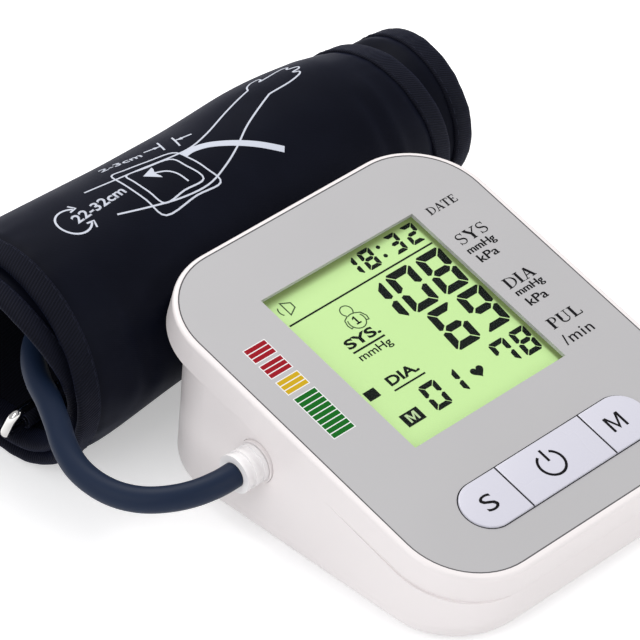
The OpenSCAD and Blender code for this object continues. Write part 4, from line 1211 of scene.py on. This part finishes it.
cloths = {
    "cuffCloth": {"color": (0.0026, 0.0031, 0.0068), "faded": (0.0042, 0.0051, 0.0105), "rib": 0.00055,
                  "slant": 0.45, "depth": 0.1, "roughness": 0.6, "sheen": 0.05, "specular": 0.05,
                  "shade": 0.12},
    "bindingTape": {"color": (0.0036, 0.0041, 0.0085), "faded": (0.0062, 0.0068, 0.0125), "rib": 0.00085,
                    "slant": 0.42, "depth": 0.8, "roughness": 0.75, "sheen": 0.06, "specular": 0.08,
                    "shade": 0.8},
    "liningCloth": {"color": (0.003, 0.0033, 0.0055), "faded": (0.005, 0.0055, 0.009), "rib": 0.0011,
                    "slant": 0.2, "depth": 0.8, "roughness": 0.9, "sheen": 0.03, "specular": 0.08,
                    "shade": 0.5},
}
twillGroup = makeTwillGroup()
for name, look in cloths.items():
    materials[name] = clothMaterial(name, look)
cover = makeCloths()
tapes = [makeTape("leftTape", "left", "left_binding"), makeTape("rightTape", "right", "right_binding")]
makeTailTape()
makeRingSleeve()
print("cuff bindings made")

# The print on the cuff: places along the roll and round it, in millimetres from the arrow round the
# size range. The drawing is this part's own: an arm, the cuff on it, the way it closes and its
# distance from the elbow.
cuffPrint = {
    "perDegree": 0.515, "line": 0.52, "tube": 2.1, "low": -0.05, "high": 0.07, "step": 1.0,
    "arrow": {"radius": 4.9, "weight": 1.15, "head": 1.9, "ends": ((48, -28, -0.2), (318, 30, 0.2))},
    # words: place, width, height, angle and added weight
    "words": [("sizeRange", "22-32cm", 9.9, 0.6, 19.6, 3.3, 4, 0.02),
              ("elbowGap", "2-3cm", 29.6, 13.0, 13.2, 2.6, -14, 0.012)],
    "armUpper": [(11.2, 7.4), (20, 6.2), (30, 5.0), (41.5, 3.2), (48.0, 3.0), (55.5, 4.8), (66, 8.4),
                 (78.3, 11.6)],
    "armLower": [(11.4, -5.0), (20, -7.4), (31, -9.8), (41.5, -10.4), (50, -8.2), (58, -4.8), (67, 0.0),
                 (80.8, 5.4)],
    "hand": [(78.3, 11.6), (79.8, 13.6), (82.4, 15.0), (85.2, 15.2), (85.6, 14.0), (84.2, 13.0),
             (88.8, 13.6), (94.0, 14.6), (96.0, 13.8), (94.6, 12.6), (97.8, 11.6), (97.2, 10.2), (94.2, 9.6),
             (95.8, 8.4), (94.0, 7.0), (88.6, 5.8), (80.8, 5.4)],
    "band": [(22.2, 8.4), (27, 8.0), (34, 6.6), (41.8, 4.6), (43.6, -0.4), (44.8, -6.0), (45.2, -11.6),
             (36, -11.4), (23.6, -12.0), (22.0, -5.4), (21.4, 1.6)],
    "bandSeam": [(25.0, 5.4), (31, 4.5), (39.0, 2.9), (40.6, -2.0), (41.6, -8.2), (34, -8.4), (26.0, -8.9),
                 (24.8, -3.6), (24.4, 1.6)],
    "tubeMark": [(43.4, 1.6), (47, 1.8), (52, 0.4), (58, -3.0), (64, -7.4), (70, -12.6)],
    "closingLine": [(37.2, -6.6), (36.4, -2.8), (34.6, -0.4), (31.6, 1.0)],
    "closingHead": [(28.0, 1.9), (32.6, 3.4), (32.0, -1.6)],
    "elbowMarks": ([(37.6, 12.0), (42.6, 10.4)], [(43.9, 13.4), (41.6, 7.6)], [(48.0, 11.6), (45.8, 5.8)],
                   [(47.2, 9.2), (52.4, 8.0)]),
    "elbowHeads": ((42.4, 10.5, -16), (47.4, 9.1, 164)),
    "elbowHead": [(0, 0), (-1.9, 0.7), (-1.9, -0.7)],
}


def roundRoll(x, across, lift):
    turn = across / cuffPrint["perDegree"]
    return rollPoint(x, turn, -clothRise(x, turn) - lift)


def rollPlace(point):
    # place along and round the roll of a point in space, in millimetres
    local = (point - unitCentre) / mm
    angle = math.degrees(math.atan2(local.z - alongRoll(local.x, "Radius"),
                                    local.y - alongRoll(local.x, "Axis")))
    return local.x, (cuffShape["tail"] - angle) % 360 * cuffPrint["perDegree"]


def printedMesh(name, mesh):
    bmesh.ops.recalc_face_normals(mesh, faces=mesh.faces)
    return finishPiece(fromBmesh(name, mesh), "clothPrint", "cuff_set")


def printedPiece(name, vertices, faces):
    mesh = bmesh.new()
    corners = [mesh.verts.new(v) for v in vertices]
    for face in faces:
        mesh.faces.new([corners[i] for i in face])
    return printedMesh(name, mesh)


def printedLine(name, points, width, closed=False):
    # a thin band of ink along a line on the cloth, cut short enough to follow its curve
    line = []
    for a, b in zip(points, points[1:] + points[:1] if closed else points[1:]):
        count = max(1, round(math.dist(a, b) / cuffPrint["step"]))
        line += [(a[0] + (b[0] - a[0]) * k / count, a[1] + (b[1] - a[1]) * k / count) for k in range(count)]
    if not closed:
        line.append(points[-1])
    size = len(line)
    vertices = []
    for i, (x, y) in enumerate(line):
        before = line[i - 1] if i or closed else line[i]
        after = line[(i + 1) % size] if i < size - 1 or closed else line[i]
        ahead = (Vector(after) - Vector(before)).normalized() * width / 2
        for side, lift in ((1, "high"), (-1, "high"), (-1, "low"), (1, "low")):
            vertices.append(roundRoll(x - ahead.y * side, y + ahead.x * side, cuffPrint[lift]))
    return printedPiece(name, vertices, tubeFaces(size, 4, looped=closed))


def printedShape(name, outline):
    # a filled sign with straight sides
    count = len(outline)
    points = [(sum(x for x, y in outline) / count, sum(y for x, y in outline) / count)] + outline
    vertices = [roundRoll(x, y, cuffPrint[lift]) for lift in ("high", "low") for x, y in points]
    faces = []
    for i in range(count):
        a, b, under = 1 + i, 1 + (i + 1) % count, count + 1
        faces += [(0, a, b), (under, under + b, under + a), (a, under + a, under + b, b)]
    return printedPiece(name, vertices, faces)


def printedWords(name, words, x, y, width, height, angle, bold):
    mesh, raised = wordSolid(words, width, height, bold)
    for v in mesh.verts:
        place = turned([(v.co.x, v.co.y)], math.radians(angle), x, y)[0]
        v.co = roundRoll(*place, cuffPrint["high" if v in raised else "low"])
    return printedMesh(name, mesh)


def smoothOutline(points, closed=False, steps=5):
    # rounded line through the points
    line = [Vector(p) for p in points]
    if closed:
        line = line[-1:] + line + line[:2]
    bent = smoothRoute(line, steps)
    if closed:
        bent = bent[steps:-steps - 1]
    return [tuple(p) for p in bent]


def makeCuffPrint():
    startX, startY = rollPlace(placeFor("sizeArrow", treeOf(cover)))

    def moved(points):
        return [(startX + x, startY + y) for x, y in points]

    width, arrow = cuffPrint["line"], cuffPrint["arrow"]
    head = arrow["head"]
    items = [printedLine("sizeArc", arc(startX, startY, arrow["radius"], 48, 318, 24),
                         width * arrow["weight"])]
    for angle, turn, rise in arrow["ends"]:
        x, y = arc(startX + 0.9, startY + rise, arrow["radius"], angle, angle, 1)[0]
        strokes = turned([(-head, head * 0.75), (0, 0), (-head, -head * 0.75)], math.radians(turn), x, y)
        items.append(printedLine("sizeHead", strokes, width))
    for name, words, x, y, *look in cuffPrint["words"]:
        items.append(printedWords(name, words, startX + x, startY + y, *look))
    for name in ("armUpper", "armLower", "hand", "band", "bandSeam", "tubeMark", "closingLine"):
        closed = name.startswith("band")
        items.append(printedLine(name, smoothOutline(moved(cuffPrint[name]), closed),
                                 cuffPrint["tube"] if name == "tubeMark" else width, closed))
    items.append(printedShape("closingHead", moved(cuffPrint["closingHead"])))
    for line in cuffPrint["elbowMarks"]:
        items.append(printedLine("elbowMark", moved(line), width))
    for x, y, angle in cuffPrint["elbowHeads"]:
        outline = turned(cuffPrint["elbowHead"], math.radians(angle), x, y)
        items.append(printedShape("elbowHead", moved(outline)))
    joined("cuffPrint", items)
    print("cuff print made")


makeCuffPrint()

stitchShape = {"pitch": 0.0031, "length": 0.0021, "thick": 0.0003, "lift": 0.35, "inset": 0.9, "table": 0.6}


def makeStitchTree():
    # short threads set along a line, turned to follow it
    tree = bpy.data.node_groups.new("stitchRow", "GeometryNodeTree")
    for label, kind in (("Geometry", "Geometry"), ("Pitch", "Float"), ("Length", "Float"),
                        ("Thickness", "Float"), ("Thread", "Material")):
        tree.interface.new_socket(name=label, in_out="INPUT", socket_type="NodeSocket" + kind)
    tree.interface.new_socket(name="Geometry", in_out="OUTPUT", socket_type="NodeSocketGeometry")
    into = tree.nodes.new("NodeGroupInput").outputs

    def step(kind, values, **settings):
        return addNode(tree, "GeometryNode" + kind, values, **settings).outputs

    line = step("MeshToCurve", {"Mesh": into["Geometry"]})["Curve"]
    spots = step("CurveToPoints", {"Curve": line, "Length": into["Pitch"]}, mode="LENGTH")
    size = addNode(tree, "ShaderNodeCombineXYZ", {"X": into["Thickness"], "Y": into["Thickness"],
                                                  "Z": into["Length"]}).outputs[0]
    thread = step("MeshUVSphere", {"Segments": 6, "Rings": 4, "Radius": 0.5})["Mesh"]
    shaped = step("Transform", {"Geometry": thread, "Scale": size})["Geometry"]
    placed = step("InstanceOnPoints", {"Points": spots["Points"], "Rotation": spots["Rotation"],
                                       "Instance": shaped})["Instances"]
    real = step("RealizeInstances", {"Geometry": placed})["Geometry"]
    coloured = step("SetMaterial", {"Geometry": real, "Material": into["Thread"]})["Geometry"]
    setInputs(tree, tree.nodes.new("NodeGroupOutput"), {"Geometry": coloured})
    return tree


def makeStitches():
    tree = makeStitchTree()
    points, edges = [], []
    for edge, sign, tape in ((leftEdge, 1, "leftTape"), (rightEdge, -1, "rightTape")):
        start = len(points)
        for turn in range(3, cuffShape["turns"] - 2, 3):
            x = edge(turn) + sign * (cuffShape[tape] - stitchShape["inset"])
            point = rollPoint(x, turn, -stitchShape["lift"])
            # the threads rest on the table where the roll does
            point.z = max(point.z, stitchShape["thick"] * stitchShape["table"])
            points.append(point)
        edges += [(i, i + 1) for i in range(start, len(points) - 1)]
    row = bpy.data.objects.new("seamStitches", bpy.data.meshes.new("seamStitches"))
    row.data.from_pydata([tuple(p) for p in points], edges, [])
    scene.collection.objects.link(row)
    modifier = row.modifiers.new("stitches", "NODES")
    modifier.node_group = tree
    values = {"Pitch": stitchShape["pitch"], "Length": stitchShape["length"],
              "Thickness": stitchShape["thick"], "Thread": materials["thread"]}
    for item in tree.interface.items_tree:
        if item.in_out == "INPUT" and item.name in values:
            modifier[item.identifier] = values[item.name]
    made = bpy.data.meshes.new_from_object(row.evaluated_get(bpy.context.evaluated_depsgraph_get()))
    row.modifiers.remove(modifier)
    row.data = made
    made.shade_smooth()
    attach(row, "cuff_set")
    print("stitches made:", len(made.polygons), "faces")


makeStitches()


def shownPlaces(*items):
    return [inPhoto(item.matrix_world @ v.co) for item in items for v in item.data.vertices]


def shownMiddle(name):
    # middle of a piece's outline in the photograph's frame
    xs, ys = zip(*shownPlaces(bpy.data.objects[name]))
    return (min(xs) + max(xs)) / 2, (min(ys) + max(ys)) / 2


def shownEdge(axis, *items):
    # the vertex that stands lowest along one axis of the frame, inside it
    inside = [p for p in shownPlaces(*items) if 0 <= min(p) and max(p) <= photoSize]
    return min(inside, key=lambda p: p[axis])


def shownCorner(across, along):
    # the panel's vertex nearest a corner of the display
    target = faceMatrix @ (Vector((display[across], display[along], 0)) * mm)
    vertices = nodes["face_panel"].data.vertices
    return inPhoto(min((v.co for v in vertices), key=lambda co: (co - target).length))


def writePoints():
    # where each thing shows in the photograph's frame, under the name of its image point
    plug = [v.co for v in nodes["hose_plug"].data.vertices]
    outermost = min(co.x for co in plug)
    face = [co for co in plug if co.x < outermost + 0.0003]
    shown = {
        "top": shownEdge(1, *tapes),
        "rimLeft": shownEdge(0, nodes["top_case"]),
        "displayLeft": shownCorner("left", "back"),
        "displayBack": shownCorner("right", "back"),
        "displayRight": shownCorner("right", "front"),
        "displayFront": shownCorner("left", "front"),
        "plugEnd": inPhoto(sum(face, Vector()) / len(face)),
        "firstBars": shownMiddle("bars1"),
        "lastBars": shownMiddle("bars4"),
        "sizeArrow": inPhoto(roundRoll(*rollPlace(placeFor("sizeArrow", treeOf(cover))), 0)),
        "ringWire": shownEdge(0, nodes["cuff_ring"]),
    }
    shown.update({row[1]: shownMiddle("legend" + row[0].capitalize()) for row in serifLegends})
    for name in ("setLetter", "powerSign", "memoryLetter"):
        shown[name] = shownMiddle(name)


writePoints()
